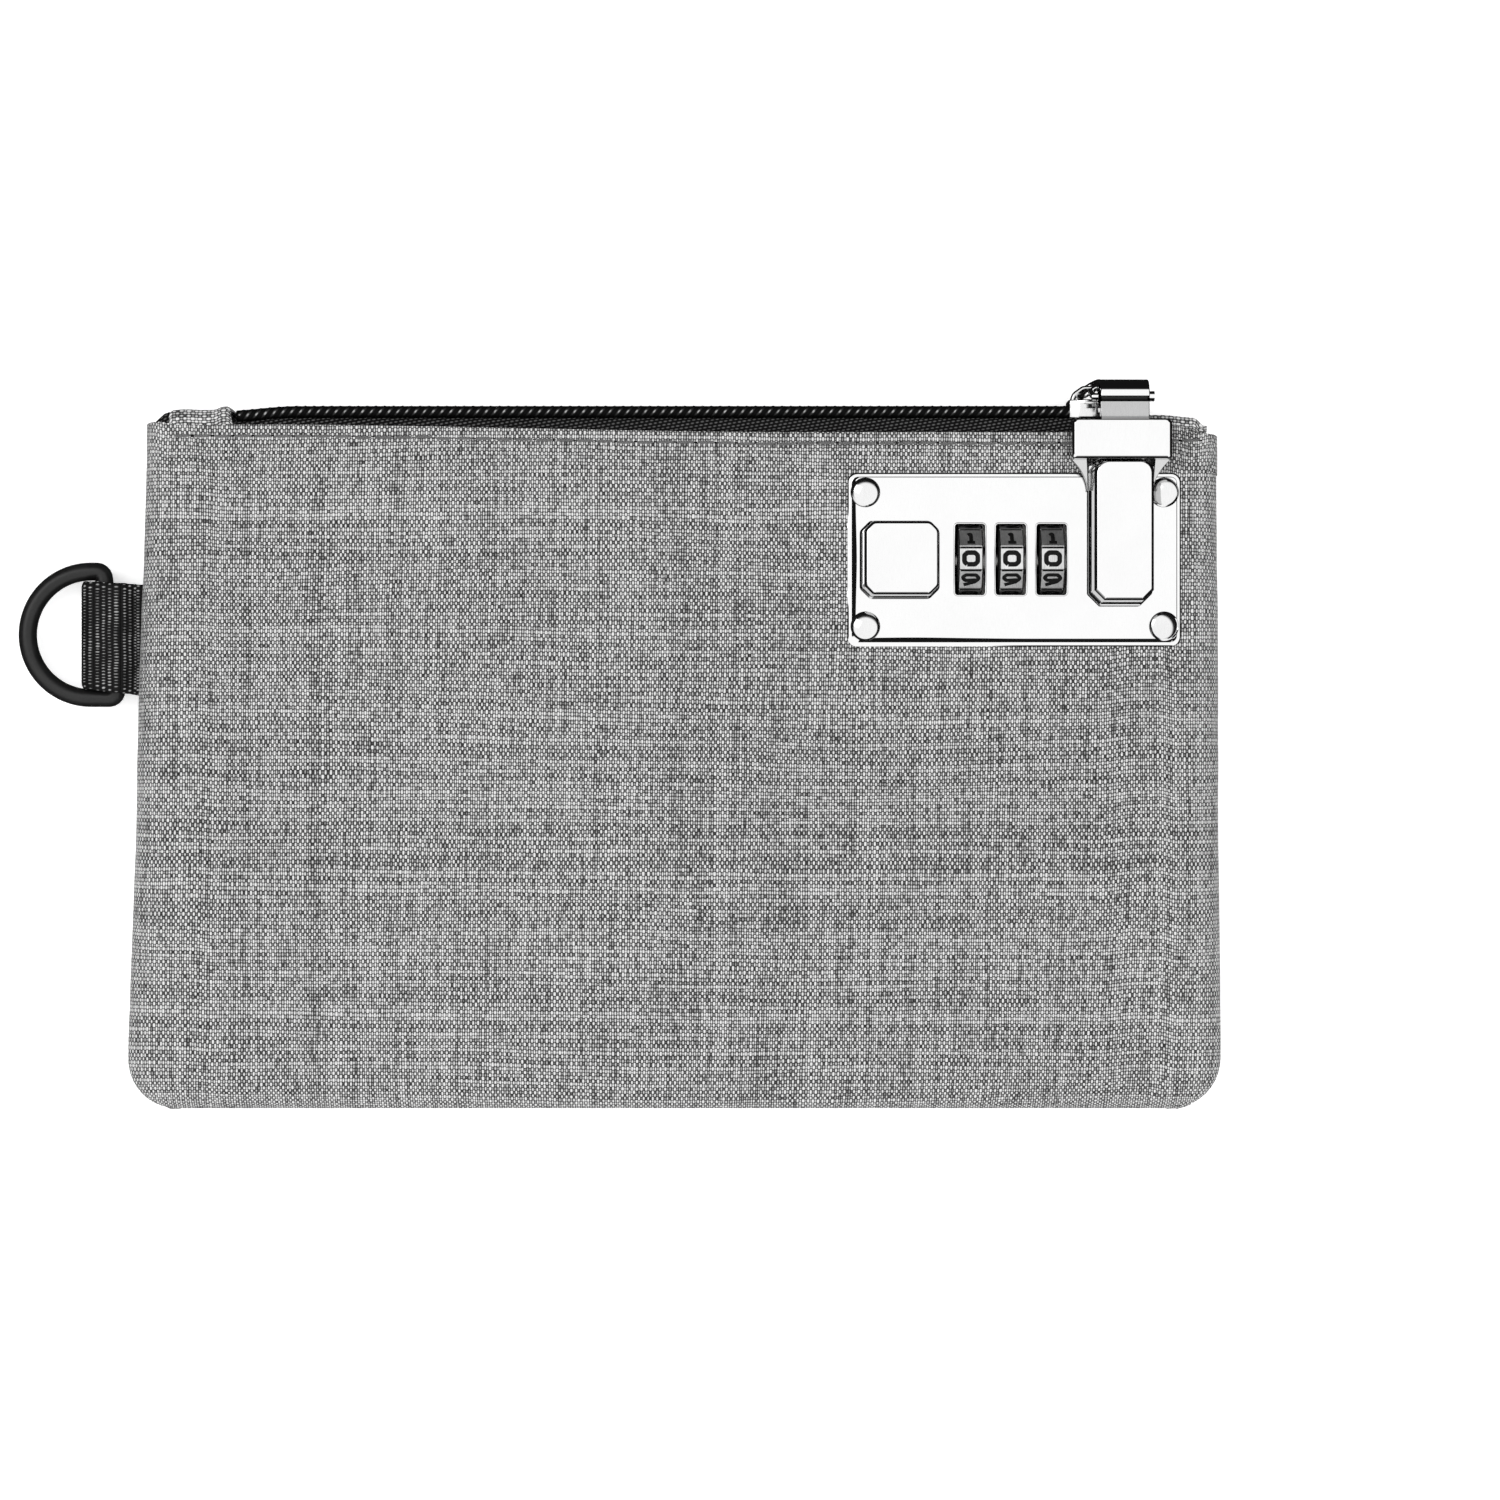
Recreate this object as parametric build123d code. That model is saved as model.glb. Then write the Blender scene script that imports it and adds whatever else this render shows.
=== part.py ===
"""Zip-top cash bag with a three-dial combination lock over the zipper end.

The bag lies on its back.  Millimetres, +Z out of the front face, +Y towards the zipper,
+X towards the lock.  Origin: centre of the flat back face.
"""
import math
import os

from build123d import *

os.makedirs("parts", exist_ok=True)

# ---------------------------------------------------------------- bag
BAG_HALF_W = 103.0          # half width at the bottom corners
TOP_LEFT_X = -98.5          # the sides lean in slightly towards the mouth
TOP_RIGHT_X = 102.0
BAG_BOTTOM_Y = -65.9
BAG_TOP_Y = 65.4
CORNER_R = 9.5              # rounded bottom corners
TOP_CORNER_R = 2.0
SEAM_Z = 4.5                # height of the side and bottom seams
SEAM_HALF = 1.3             # half thickness of the bag at its seams
FABRIC_T = 0.8              # outer fabric with its backing
FRONT_Z = 13.7              # flat of the front panel, under the lock
LEFT_FLAT_X, LEFT_Z = -93.0, 12.9  # the front panel is a little lower at the ring end
FRONT_EDGE_Y = 61.7         # folded top edge of the front panel
BACK_EDGE_Y = 64.4

# ---------------------------------------------------------------- zipper
ZIP_Z = 7.5                 # middle of the closed zipper
COIL_Y0, COIL_Y1 = 63.5, 65.9
COIL_W = 2.35               # width of one half of the coil
COIL_GAP = 0.5
COIL_X0, COIL_X1 = -82.0, 88.0
TAPE_T = 0.5
TAPE_Y = 63.2               # mid-thickness of the tape under the coil
TAPE_X0, TAPE_X1 = -91.0, 94.6
SLIDER_X0, SLIDER_X1 = 73.8, 84.8
WING_HALF, CHANNEL_HALF = 3.6, 2.75  # slider's wings and the channel between its lips
TAB_Z0, TAB_Z1 = 1.5, 12.5
TAB_LEFT = (-94.8, COIL_X0 - 0.15, 65.9)   # ends and top of each end tab
TAB_RIGHT = (COIL_X1 + 0.6, 98.8, 65.6)

# ---------------------------------------------------------------- lock
LOCK_X, LOCK_Y = 63.4, 36.8  # centre of the face plate
PLATE_W, PLATE_H, PLATE_T = 61.8, 32.2, 1.0
PLATE_Z = FRONT_Z + PLATE_T
RIVET_DX, RIVET_DY = 27.65, 12.4
RIVET_HEAD_R, RIVET_SHANK_R = 2.75, 1.2
CASE_X0, CASE_X1 = 38.0, 88.6
CASE_HALF_H = 10.8
CASE_Z0 = 2.2
CASE_WALL = 0.8

CLAMP_T = 0.8
CLAMP_Z0 = FRONT_Z - FABRIC_T - CLAMP_T
BULKHEAD_X = (50.3, 75.4)

DIAL_X = (55.15, 62.7, 70.25)
DIAL_W = 4.6
DIAL_FACETS = 10
DIAL_APOTHEM = 6.6
DIAL_PROUD = 2.9
AXLE_Z = PLATE_Z + DIAL_PROUD - DIAL_APOTHEM
AXLE_R = 1.5
RUNNING_GAP = 0.05
SLEEVE_R = 2.2
GATE_R = 2.6

BUTTON_X = 42.2
BUTTON_W, BUTTON_H = 14.8, 14.5
BUTTON_STEM_X0, BUTTON_STEM_X1 = 41.8, 46.8
BUTTON_STEM_HALF = 3.4
BUTTON_PLAY = 0.3           # round the stem, across the travel
BAR_Z0, BAR_Z1 = 12.2, 13.4  # lock bar: thickness
BAR_X0, BAR_X1 = 41.2, 83.5
BAR_Y0, BAR_Y1 = 44.3, 46.3  # rail that runs past the dials
LUG_X0, LUG_X1 = 46.4, 47.6
SLOT_X0, SLOT_X1 = 79.0, 87.6  # hook slot in the face plate
SLOT_MARGIN = 0.9
HOOK_NECK = 0.9             # depth of the notch under the hook
GATE_T = 0.9
GATE_AT = 2.7               # from the middle of a dial to its gate flange

# ---------------------------------------------------------------- puller
PULL_X = 82.8
PIN_Y, PIN_Z = 66.95, 15.2
PIN_R = 0.6
BARREL_R = 3.1
BARREL_X0, BARREL_X1 = 79.0, 88.0
TONGUE_Z0, TONGUE_Z1 = 15.6, 20.0
TONGUE_HALF_W = 5.7
TONGUE_Y0, TONGUE_Y1 = 28.5, 54.6
HEAD_Y0, HEAD_Y1 = 54.9, 62.1
HEAD_HALF_W = 9.2
HEAD_Z0, HEAD_Z1 = 15.0, 20.8
HOOK_X0, HOOK_X1 = 84.0, 87.0
HOOK_Y0, HOOK_Y1 = 34.6, 38.4
HOOK_Z0 = 11.2
BAIL_Y = 69.3               # axis of the bail wire over the slider
BAIL_R = 0.5
EYE_X = 77.9
EYE_R, EYE_WIRE_R = 2.3, 0.55

# ---------------------------------------------------------------- D-ring
RING_BAR_X = -105.0
RING_Y = 22.85
RING_WIRE_R = 1.7
RING_BEND_R = 11.75
RING_ARC_X = -109.5
WEB_HALF_W = 9.5
WEB_T = 1.2
WEB_FOLD_X = -111.0
WEB_SEAM_X = -98.9


def box(x0, x1, y0, y1, z0, z1):
    """Axis-aligned block between two corners."""
    centre = ((x0 + x1) / 2, (y0 + y1) / 2, (z0 + z1) / 2)
    return Pos(*centre) * Box(x1 - x0, y1 - y0, z1 - z0)


def rod_x(x0, x1, y, z, r):
    """Round bar along X."""
    return Pos((x0 + x1) / 2, y, z) * Rot(0, 90, 0) * Cylinder(r, x1 - x0)


def rod_z(x, y, z0, z1, r):
    """Round bar along Z."""
    return Pos(x, y, (z0 + z1) / 2) * Cylinder(r, z1 - z0)


def plate(w, h, r, z0, z1, x=LOCK_X, y=LOCK_Y):
    """Flat plate with rounded corners, lying in XY."""
    return extrude(Pos(x, y, z0) * RectangleRounded(w, h, r), z1 - z0, dir=(0, 0, 1))


def profile_x(points, radii, x0, x1):
    """Closed YZ outline with rounded corners, run along X."""
    wire = FilletPolyline(*[(0, y, z) for y, z in points], radius=radii, close=True)
    return extrude(Pos(x0, 0, 0) * make_face(wire), x1 - x0, dir=(1, 0, 0))


# ================================================================ bag
def bag_outline(inset):
    """Flat outline of the bag: leaning sides, rounded bottom corners."""
    points = [(TOP_LEFT_X, BAG_TOP_Y), (-BAG_HALF_W, BAG_BOTTOM_Y),
              (BAG_HALF_W, BAG_BOTTOM_Y), (TOP_RIGHT_X, BAG_TOP_Y)]
    radii = [TOP_CORNER_R, CORNER_R, CORNER_R, TOP_CORNER_R]
    face = make_face(FilletPolyline(*points, radius=radii, close=True))
    return offset(face, -inset) if inset else face


def bag_envelope(inset):
    """Solid bag: its outline cut to the side view and to the end view."""
    body = extrude(Pos(0, 0, -1) * bag_outline(inset), FRONT_Z + 2, dir=(0, 0, 1))
    low, high = inset, FRONT_Z - inset
    left, right = -BAG_HALF_W - 1, BAG_HALF_W + 1
    # end-to-end height, full under the lock
    side = [(left, SEAM_Z - SEAM_HALF + inset), (-94, low), (94, low), (right, SEAM_Z - SEAM_HALF + inset),
            (right, SEAM_Z + SEAM_HALF - inset), (97, high), (20, high), (LEFT_FLAT_X, LEFT_Z - inset),
            (left, SEAM_Z + SEAM_HALF - inset)]
    side_wire = FilletPolyline(*[(x, 0, z) for x, z in side],
                               radius=[0, 20, 20, 0, 0, 4, 150, 5, 0], close=True)
    side_view = extrude(Pos(0, -80, 0) * make_face(side_wire), 160, dir=(0, 1, 0))
    # bottom seam to mouth; its flats stand just outside those of the side view
    over = 0.05
    end = [(-67, SEAM_Z - SEAM_HALF + inset), (-58, low - over), (56, low - over),
           (67, 2.4 + inset), (67, 12.3 - inset), (54, high + over), (-18, high + over),
           (-58, 9.2 - inset), (-67, SEAM_Z + SEAM_HALF - inset)]
    end_view = profile_x(end, [0, 20, 20, 0, 0, 20, 90, 12, 0], -110, 110)
    return side_view & end_view & body


def bag_panels():
    """Front and back panels: thin shells that meet at the seam."""
    inside = bag_envelope(FABRIC_T)
    shell = bag_envelope(0) - inside
    front = shell & box(-110, 110, -70, FRONT_EDGE_Y, SEAM_Z, 20)
    back = shell & box(-110, 110, -70, BACK_EDGE_Y, -1, SEAM_Z)
    slit = box(-110, WEB_SEAM_X, RING_Y - WEB_HALF_W, RING_Y + WEB_HALF_W,
               SEAM_Z - WEB_T, SEAM_Z + WEB_T)
    front -= slit
    front -= lock_cutout()
    for x, y in rivet_places():
        front -= rod_z(x, y, FRONT_Z - 2, FRONT_Z + 1, RIVET_SHANK_R + RUNNING_GAP)
    return front, back - slit


def lock_cutout():
    """Window in the front panel that the lock case drops through."""
    gap = 0.2
    return box(CASE_X0 - gap, CASE_X1 + gap, LOCK_Y - CASE_HALF_H - gap,
               LOCK_Y + CASE_HALF_H + gap, SEAM_Z + 2, 20)


# ================================================================ zipper
def tape(side):
    """Woven tape: flat under the coil, then folded down inside the panel. side +1 is front."""
    half = TAPE_T / 2
    if side > 0:
        run = [(TAPE_Y, ZIP_Z + 0.5), (TAPE_Y, 11.3), (61.6, 11.4), (55.0, 11.75)]
        radii = [0.5, 0.8]
    else:
        run = [(TAPE_Y, ZIP_Z - 0.5), (TAPE_Y, 2.95), (61.0, 2.45), (55.0, 1.5)]
        radii = [0.9, 3.0]
    path = FilletPolyline(*[(0, y, z) for y, z in run], radius=radii)
    strip = make_face(trace_band(path, half))
    return extrude(Pos(TAPE_X0, 0, 0) * strip, TAPE_X1 - TAPE_X0, dir=(1, 0, 0))


def trace_band(path, half):
    """Closed outline of a band of the given half thickness about an open YZ path."""
    return offset(path, half, side=Side.BOTH, kind=Kind.ARC)


def coil(side):
    """One half of the closed coil, as its outer shape."""
    z0 = ZIP_Z + COIL_GAP / 2 if side > 0 else ZIP_Z - COIL_GAP / 2 - COIL_W
    half = COIL_Y0 + (COIL_Y1 - COIL_Y0) / 2
    section = Plane.YZ * Pos(half, z0 + COIL_W / 2) * RectangleRounded(
        COIL_Y1 - COIL_Y0, COIL_W, 1.0)
    return extrude(Pos(COIL_X0, 0, 0) * section, COIL_X1 - COIL_X0, dir=(1, 0, 0))


def zipper_stops():
    """Bottom stop at the open end and a pair of top stops, both inside the end tabs."""
    y0 = TAPE_Y + TAPE_T / 2 + 0.02
    bottom = box(COIL_X0 - 2.6, COIL_X0 - 0.3, y0, 65.0, ZIP_Z - 2.6, ZIP_Z + 2.6)
    top = [box(COIL_X1 + 1.0, COIL_X1 + 2.6, y0, 64.0, ZIP_Z + a, ZIP_Z + a + 2.2)
           for a in (-2.4, 0.2)]
    return Compound(children=[bottom] + top)


def end_tab(x0, x1, y1):
    """Strip of fabric folded over one end of the zipper: a U that opens downwards."""
    t = FABRIC_T
    z0, z1 = TAB_Z0, TAB_Z1
    outer = [(BACK_EDGE_Y + 0.45, z0), (y1, z0), (y1, z1), (FRONT_EDGE_Y + 0.2, z1)]
    inner = [(58, z0 + t), (y1 - t, z0 + t), (y1 - t, z1 - t), (58, z1 - t)]
    return profile_x(outer, [0, 0.4, 1.6, 0], x0, x1) - profile_x(
        inner, [0, 0.1, 0.8, 0], x0 - 1, x1 + 1)


def slider_body():
    """Slider: two wings joined by a post between the halves, with a channel for the coil."""
    x0, x1 = SLIDER_X0, SLIDER_X1
    top = box(x0, x1, COIL_Y1 + 0.15, COIL_Y1 + 1.0, ZIP_Z - WING_HALF, ZIP_Z + WING_HALF)
    low = box(x0 + 0.6, x1 - 0.6, TAPE_Y - 1.3, TAPE_Y - 0.5, ZIP_Z - 3.0, ZIP_Z + 3.0)
    lips = [box(x0 + 0.4, x1 - 0.4, TAPE_Y + 0.6, COIL_Y1 + 0.2, ZIP_Z + a, ZIP_Z + b)
            for a, b in ((CHANNEL_HALF, WING_HALF), (-WING_HALF, -CHANNEL_HALF))]
    post = box(x1 - 2.4, x1 - 0.8, TAPE_Y - 0.6, COIL_Y1 + 0.3, ZIP_Z - 0.15, ZIP_Z + 0.15)
    body = top + lips[0] + lips[1] + low + post
    corners = body.edges().filter_by(Axis.Y).group_by(Axis.X)
    return fillet(corners[0] + corners[-1], 0.5)


def slider_bail():
    """Wire bridge along the slider that the eye hangs on."""
    x0, x1 = SLIDER_X0 + 0.9, SLIDER_X0 + 7.3
    foot_y = COIL_Y1 + 1.0
    path = FilletPolyline((x0, foot_y, ZIP_Z), (x0, BAIL_Y, ZIP_Z), (x1, BAIL_Y, ZIP_Z),
                          (x1, foot_y, ZIP_Z), radius=0.9)
    return sweep(Plane(path @ 0, z_dir=path % 0) * Circle(BAIL_R), path)


# ================================================================ puller
def pin_direction():
    """Unit vector from the bail to the hinge pin, as (y, z), and the distance."""
    dy, dz = PIN_Y - BAIL_Y, PIN_Z - ZIP_Z
    reach = math.hypot(dy, dz)
    return dy / reach, dz / reach, reach


def eye_pin():
    """Eye round the bail, a short shank, and the pin through the barrel."""
    uy, uz, reach = pin_direction()
    near = BAIL_R + EYE_WIRE_R + 0.15  # eye wire to bail wire, centre to centre
    tilt = math.degrees(math.atan2(uy, uz))
    at = EYE_R - near
    eye = Pos(EYE_X, BAIL_Y + uy * at, ZIP_Z + uz * at) * Rot(-tilt, 0, 0) * Rot(0, 0, 35) \
        * Rot(90, 0, 0) * Torus(EYE_R, EYE_WIRE_R)
    far = at + EYE_R
    shank_len = reach - far + 0.1
    mid = far + shank_len / 2 - 0.1
    shank = Pos(EYE_X, BAIL_Y + uy * mid, ZIP_Z + uz * mid) * Rot(-tilt, 0, 0) \
        * Cylinder(PIN_R, shank_len)
    elbow = Pos(EYE_X, PIN_Y, PIN_Z) * Sphere(PIN_R)
    pin = rod_x(EYE_X, BARREL_X1 + 0.3, PIN_Y, PIN_Z, PIN_R)
    head = rod_x(BARREL_X1 + 0.25, BARREL_X1 + 1.2, PIN_Y, PIN_Z, 0.95)
    return eye + shank + elbow + pin + head


def puller_head():
    """Wide head, a short neck and the barrel rolled round the pin, in one piece."""
    barrel = rod_x(BARREL_X0, BARREL_X1, PIN_Y, PIN_Z, BARREL_R)
    neck_top = PIN_Z + BARREL_R - 0.2
    neck = box(BARREL_X0, BARREL_X1, HEAD_Y1 - 0.5, PIN_Y, neck_top - 1.2, neck_top)
    block = box(PULL_X - HEAD_HALF_W, PULL_X + HEAD_HALF_W, HEAD_Y0, HEAD_Y1,
                HEAD_Z0, HEAD_Z1)
    block = chamfer(block.faces().sort_by(Axis.Z)[-1].edges(), 0.5)
    bore = rod_x(BARREL_X0 - 1, BARREL_X1 + 1, PIN_Y, PIN_Z, PIN_R + RUNNING_GAP)
    return block + neck + barrel - bore


def gusset():
    """Thin base flange that widens in two curved wings up to the head."""
    half, wide = TONGUE_HALF_W + 0.35, HEAD_HALF_W - 0.1
    low, high = TONGUE_Y0 - 0.35, HEAD_Y0 - 0.1
    curve_y = high - 4.6
    c = 2.4
    right = Line((half, low + c), (half, curve_y)) + RadiusArc(
        (half, curve_y), (wide, high), 6.5)
    left = Line((-half, low + c), (-half, curve_y)) + RadiusArc(
        (-half, curve_y), (-wide, high), -6.5)
    closing = Line((wide, high), (-wide, high)) + Polyline(
        (-half, low + c), (-half + c, low), (half - c, low), (half, low + c))
    face = make_face(Wire(right.edges() + left.edges() + closing.edges()))
    return extrude(Pos(PULL_X, 0, TONGUE_Z0) * face, 0.6, dir=(0, 0, 1))


def puller_tongue():
    """Raised tongue with chamfered end and sloping sides, its flange and its hook."""
    c = 2.0
    half = TONGUE_HALF_W

    def outline(inset):
        h, y0, y1 = half - inset, TONGUE_Y0 + inset, TONGUE_Y1
        points = [(-h, y1), (-h, y0 + c), (-h + c, y0), (h - c, y0), (h, y0 + c), (h, y1)]
        return make_face(Polyline(*points, close=True))
    block = loft([Pos(PULL_X, 0, TONGUE_Z0) * outline(0), Pos(PULL_X, 0, TONGUE_Z1 - 0.7)
                  * outline(0.15), Pos(PULL_X, 0, TONGUE_Z1) * outline(0.75)], ruled=True)
    hook = box(HOOK_X0, HOOK_X1, HOOK_Y0, HOOK_Y1, HOOK_Z0, TONGUE_Z0 + 0.1)
    notch = box(HOOK_X0 - 1, HOOK_X0 + HOOK_NECK, HOOK_Y0 - 1, HOOK_Y1 + 1, BAR_Z0 - 0.2,
                BAR_Z1 + 0.2)
    return block + gusset() + (hook - notch)


# ================================================================ lock
def dial_windows(z0, z1):
    """Cutters for the three dial windows."""
    w, h = DIAL_W + 1.0, 13.2
    return [plate(w, h, 0.5, z0, z1, x=x) for x in DIAL_X]


def lock_face_plate():
    """Face plate: bevelled rim, dial windows, button opening, hook slot, rivet holes."""
    body = plate(PLATE_W, PLATE_H, 1.6, FRONT_Z, PLATE_Z)
    body = chamfer(body.faces().sort_by(Axis.Z)[-1].edges(), 0.5)
    for window in dial_windows(FRONT_Z - 1, PLATE_Z + 1):
        body -= window
    travel, half = 2.3, BUTTON_STEM_HALF + BUTTON_PLAY
    body -= box(BUTTON_STEM_X0 - travel, BUTTON_STEM_X1 + BUTTON_PLAY, LOCK_Y - half, LOCK_Y + half,
                FRONT_Z - 1, PLATE_Z + 1)
    body -= box(SLOT_X0, SLOT_X1, HOOK_Y0 - SLOT_MARGIN, HOOK_Y1 + SLOT_MARGIN,
                FRONT_Z - 1, PLATE_Z + 1)
    for x, y in rivet_places():
        body -= rod_z(x, y, FRONT_Z - 1, PLATE_Z + 1, RIVET_SHANK_R + RUNNING_GAP)
    return body


def rivet_places():
    """Centres of the four rivets."""
    return [(LOCK_X + i * RIVET_DX, LOCK_Y + j * RIVET_DY) for i in (-1, 1) for j in (-1, 1)]


def lock_rivets():
    """Four domed rivets, peened behind the clamp plate."""
    rivets = []
    dome_h, rim = 1.2, 0.3
    ball_r = (RIVET_HEAD_R ** 2 + (dome_h - rim) ** 2) / (2 * (dome_h - rim))
    for x, y in rivet_places():
        ball = Pos(x, y, PLATE_Z + dome_h - ball_r) * Sphere(ball_r)
        head = ball & rod_z(x, y, PLATE_Z, PLATE_Z + dome_h + 1, RIVET_HEAD_R)
        shank = rod_z(x, y, CLAMP_Z0 - 0.5, PLATE_Z + 0.2, RIVET_SHANK_R)
        tail = rod_z(x, y, CLAMP_Z0 - 0.8, CLAMP_Z0, 2.0)
        rivets.append(head + shank + tail)
    return Compound(children=rivets)


def clamp_plate():
    """Frame behind the fabric that the rivets pull up against it."""
    body = plate(PLATE_W - 1.2, PLATE_H - 1.2, 1.6, CLAMP_Z0, CLAMP_Z0 + CLAMP_T)
    gap = 0.2
    body -= box(CASE_X0 - gap, CASE_X1 + gap, LOCK_Y - CASE_HALF_H - gap,
                LOCK_Y + CASE_HALF_H + gap, CLAMP_Z0 - 1, CLAMP_Z0 + 2)
    for x, y in rivet_places():
        body -= rod_z(x, y, CLAMP_Z0 - 1, CLAMP_Z0 + 2, RIVET_SHANK_R + RUNNING_GAP)
    return body


def lock_case():
    """Open-topped case behind the face plate, with two bulkheads that carry the axle."""
    t, top = CASE_WALL, FRONT_Z
    y0, y1 = LOCK_Y - CASE_HALF_H, LOCK_Y + CASE_HALF_H
    body = box(CASE_X0, CASE_X1, y0, y1, CASE_Z0, top)
    body -= box(CASE_X0 + t, CASE_X1 - t, y0 + t, y1 - t, CASE_Z0 + t, top + 1)
    for x in BULKHEAD_X:
        low = box(x, x + t, y0 + t, y1 - t, CASE_Z0 + t, BAR_Z0 - 0.3)
        tower = box(x, x + t, LOCK_Y - 4, LOCK_Y + 4, CASE_Z0 + t, top - 0.1)
        bore = rod_x(x - 1, x + t + 1, LOCK_Y, AXLE_Z, AXLE_R)
        body += low + tower - bore
    return body


def dial_axle():
    """Axle held in the two bulkheads."""
    return rod_x(BULKHEAD_X[0] - 0.2, BULKHEAD_X[1] + CASE_WALL + 0.2, LOCK_Y, AXLE_Z, AXLE_R)


def dial(x):
    """Ten-sided dial with a groove between its faces, bored for its sleeve."""
    circum = DIAL_APOTHEM / math.cos(math.pi / DIAL_FACETS)
    section = Plane.YZ * Rot(0, 0, 90 / (DIAL_FACETS / 2)) * RegularPolygon(circum, DIAL_FACETS)
    body = extrude(Pos(x - DIAL_W / 2, LOCK_Y, AXLE_Z) * section, DIAL_W, dir=(1, 0, 0))
    ends = body.faces().filter_by(Axis.X).edges()
    body = chamfer(ends, 0.25)
    for i in range(DIAL_FACETS):
        turn = math.radians((i + 0.5) * 360 / DIAL_FACETS)
        r = circum + 0.02
        body -= rod_x(x - 1.5, x + 1.5, LOCK_Y + r * math.sin(turn), AXLE_Z + r * math.cos(turn),
                      0.3)
    return body - rod_x(x - DIAL_W, x + DIAL_W, LOCK_Y, AXLE_Z, SLEEVE_R)


def code_sleeve(x):
    """Sleeve inside one dial, with the gate flange beside it."""
    body = rod_x(x - DIAL_W / 2, x + DIAL_W / 2 + 2.4, LOCK_Y, AXLE_Z, SLEEVE_R)
    flange = rod_x(x + GATE_AT, x + GATE_AT + GATE_T, LOCK_Y, AXLE_Z, GATE_R)
    gate = box(x + 2, x + 4, LOCK_Y - 1.1, LOCK_Y + 1.1, AXLE_Z - GATE_R - 1,
               AXLE_Z - GATE_R + 0.6)
    bore = rod_x(x - DIAL_W, x + 2 * DIAL_W, LOCK_Y, AXLE_Z, AXLE_R + RUNNING_GAP)
    return body + (flange - gate) - bore


def gate_lever():
    """Bar under the sleeves that drops into their gates when the number is right."""
    z1 = AXLE_Z - GATE_R - 0.15
    bar = box(BULKHEAD_X[0] + CASE_WALL + 0.2, BULKHEAD_X[1] - 0.2, 45.0, 46.4, 4.6, z1)
    for x in DIAL_X:
        bar += box(x + GATE_AT, x + GATE_AT + GATE_T, LOCK_Y - 0.7, 45.2, z1 - 0.9, z1)
    return bar


def detent_spring():
    """Leaf spring with one finger that clicks under each dial."""
    z = CASE_Z0 + CASE_WALL
    body = box(52.0, 74.6, 27.2, 28.6, z, z + 0.35)
    for x in DIAL_X:
        body += box(x - 1.4, x + 1.4, 28.0, LOCK_Y + 3.0, z, z + 0.35)
    return body


def release_button():
    """Square button with sloping sides and its stem through the face plate."""
    z0, z1 = PLATE_Z + 0.12, PLATE_Z + 2.9
    c = 1.9

    def outline(inset):
        w, h = BUTTON_W / 2 - inset, BUTTON_H / 2 - inset
        points = [(-w, -h + c), (-w + c, -h), (w - c, -h), (w, -h + c),
                  (w, h - c), (w - c, h), (-w + c, h), (-w, h - c)]
        return make_face(Polyline(*points, close=True))
    levels = ((z0, 0.0), (z1 - 0.5, 0.35), (z1, 0.85))
    block = loft([Pos(BUTTON_X, LOCK_Y, z) * outline(i) for z, i in levels], ruled=True)
    stem = box(BUTTON_STEM_X0, BUTTON_STEM_X1, LOCK_Y - BUTTON_STEM_HALF,
               LOCK_Y + BUTTON_STEM_HALF, BAR_Z1, z0 + 0.1)
    return block + stem


def lock_bar():
    """Slide behind the face plate: pad under the button, rail past the dials, nose."""
    pad = box(BAR_X0, LUG_X1, LOCK_Y - 4.0, BAR_Y1, BAR_Z0, BAR_Z1)
    rail = box(BAR_X0, BAR_X1, BAR_Y0, BAR_Y1, BAR_Z0, BAR_Z1)
    arm = box(78.4, BAR_X1, HOOK_Y0 - 0.5, BAR_Y1, BAR_Z0, BAR_Z1)
    nose = box(BAR_X1 - 0.5, HOOK_X0 + 0.6, HOOK_Y0 + 0.4, HOOK_Y1 - 0.4, BAR_Z0, BAR_Z1)
    lug = box(LUG_X0, LUG_X1, LOCK_Y - 2.0, LOCK_Y + 2.0, 7.5, BAR_Z0 + 0.1)
    return pad + rail + arm + nose + lug


def return_spring():
    """Coil spring between the case wall and the lug of the slide."""
    x0, x1 = CASE_X0 + CASE_WALL + 0.1, LUG_X0 - 0.1
    wire, r, turns = 0.25, 1.5, 6
    pitch = (x1 - x0 - 2 * wire) / turns
    path = Pos(x0 + wire, LOCK_Y, 9.4) * Rot(0, 90, 0) * Helix(pitch, pitch * turns, r)
    return sweep(Plane(path @ 0, z_dir=path % 0) * Circle(wire), path)


# ================================================================ D-ring and its loop
def d_ring():
    """Bent wire: straight bar in the loop, two short arms and a half circle."""
    r = RING_BEND_R
    low, high = RING_Y - r, RING_Y + r
    bar = rod_y(RING_BAR_X, low, high, SEAM_Z, RING_WIRE_R)
    arms = [rod_x(RING_ARC_X, RING_BAR_X, y, SEAM_Z, RING_WIRE_R) for y in (low, high)]
    ends = [Pos(RING_BAR_X, y, SEAM_Z) * Sphere(RING_WIRE_R) for y in (low, high)]
    bow = Pos(RING_ARC_X, RING_Y, SEAM_Z) * Torus(r, RING_WIRE_R)
    bow = bow & box(-140, RING_ARC_X, low - 5, high + 5, 0, 12)
    return bar + arms[0] + arms[1] + ends[0] + ends[1] + bow


def rod_y(x, y0, y1, z, r):
    """Round bar along Y."""
    return Pos(x, (y0 + y1) / 2, z) * Rot(90, 0, 0) * Cylinder(r, y1 - y0)


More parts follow.
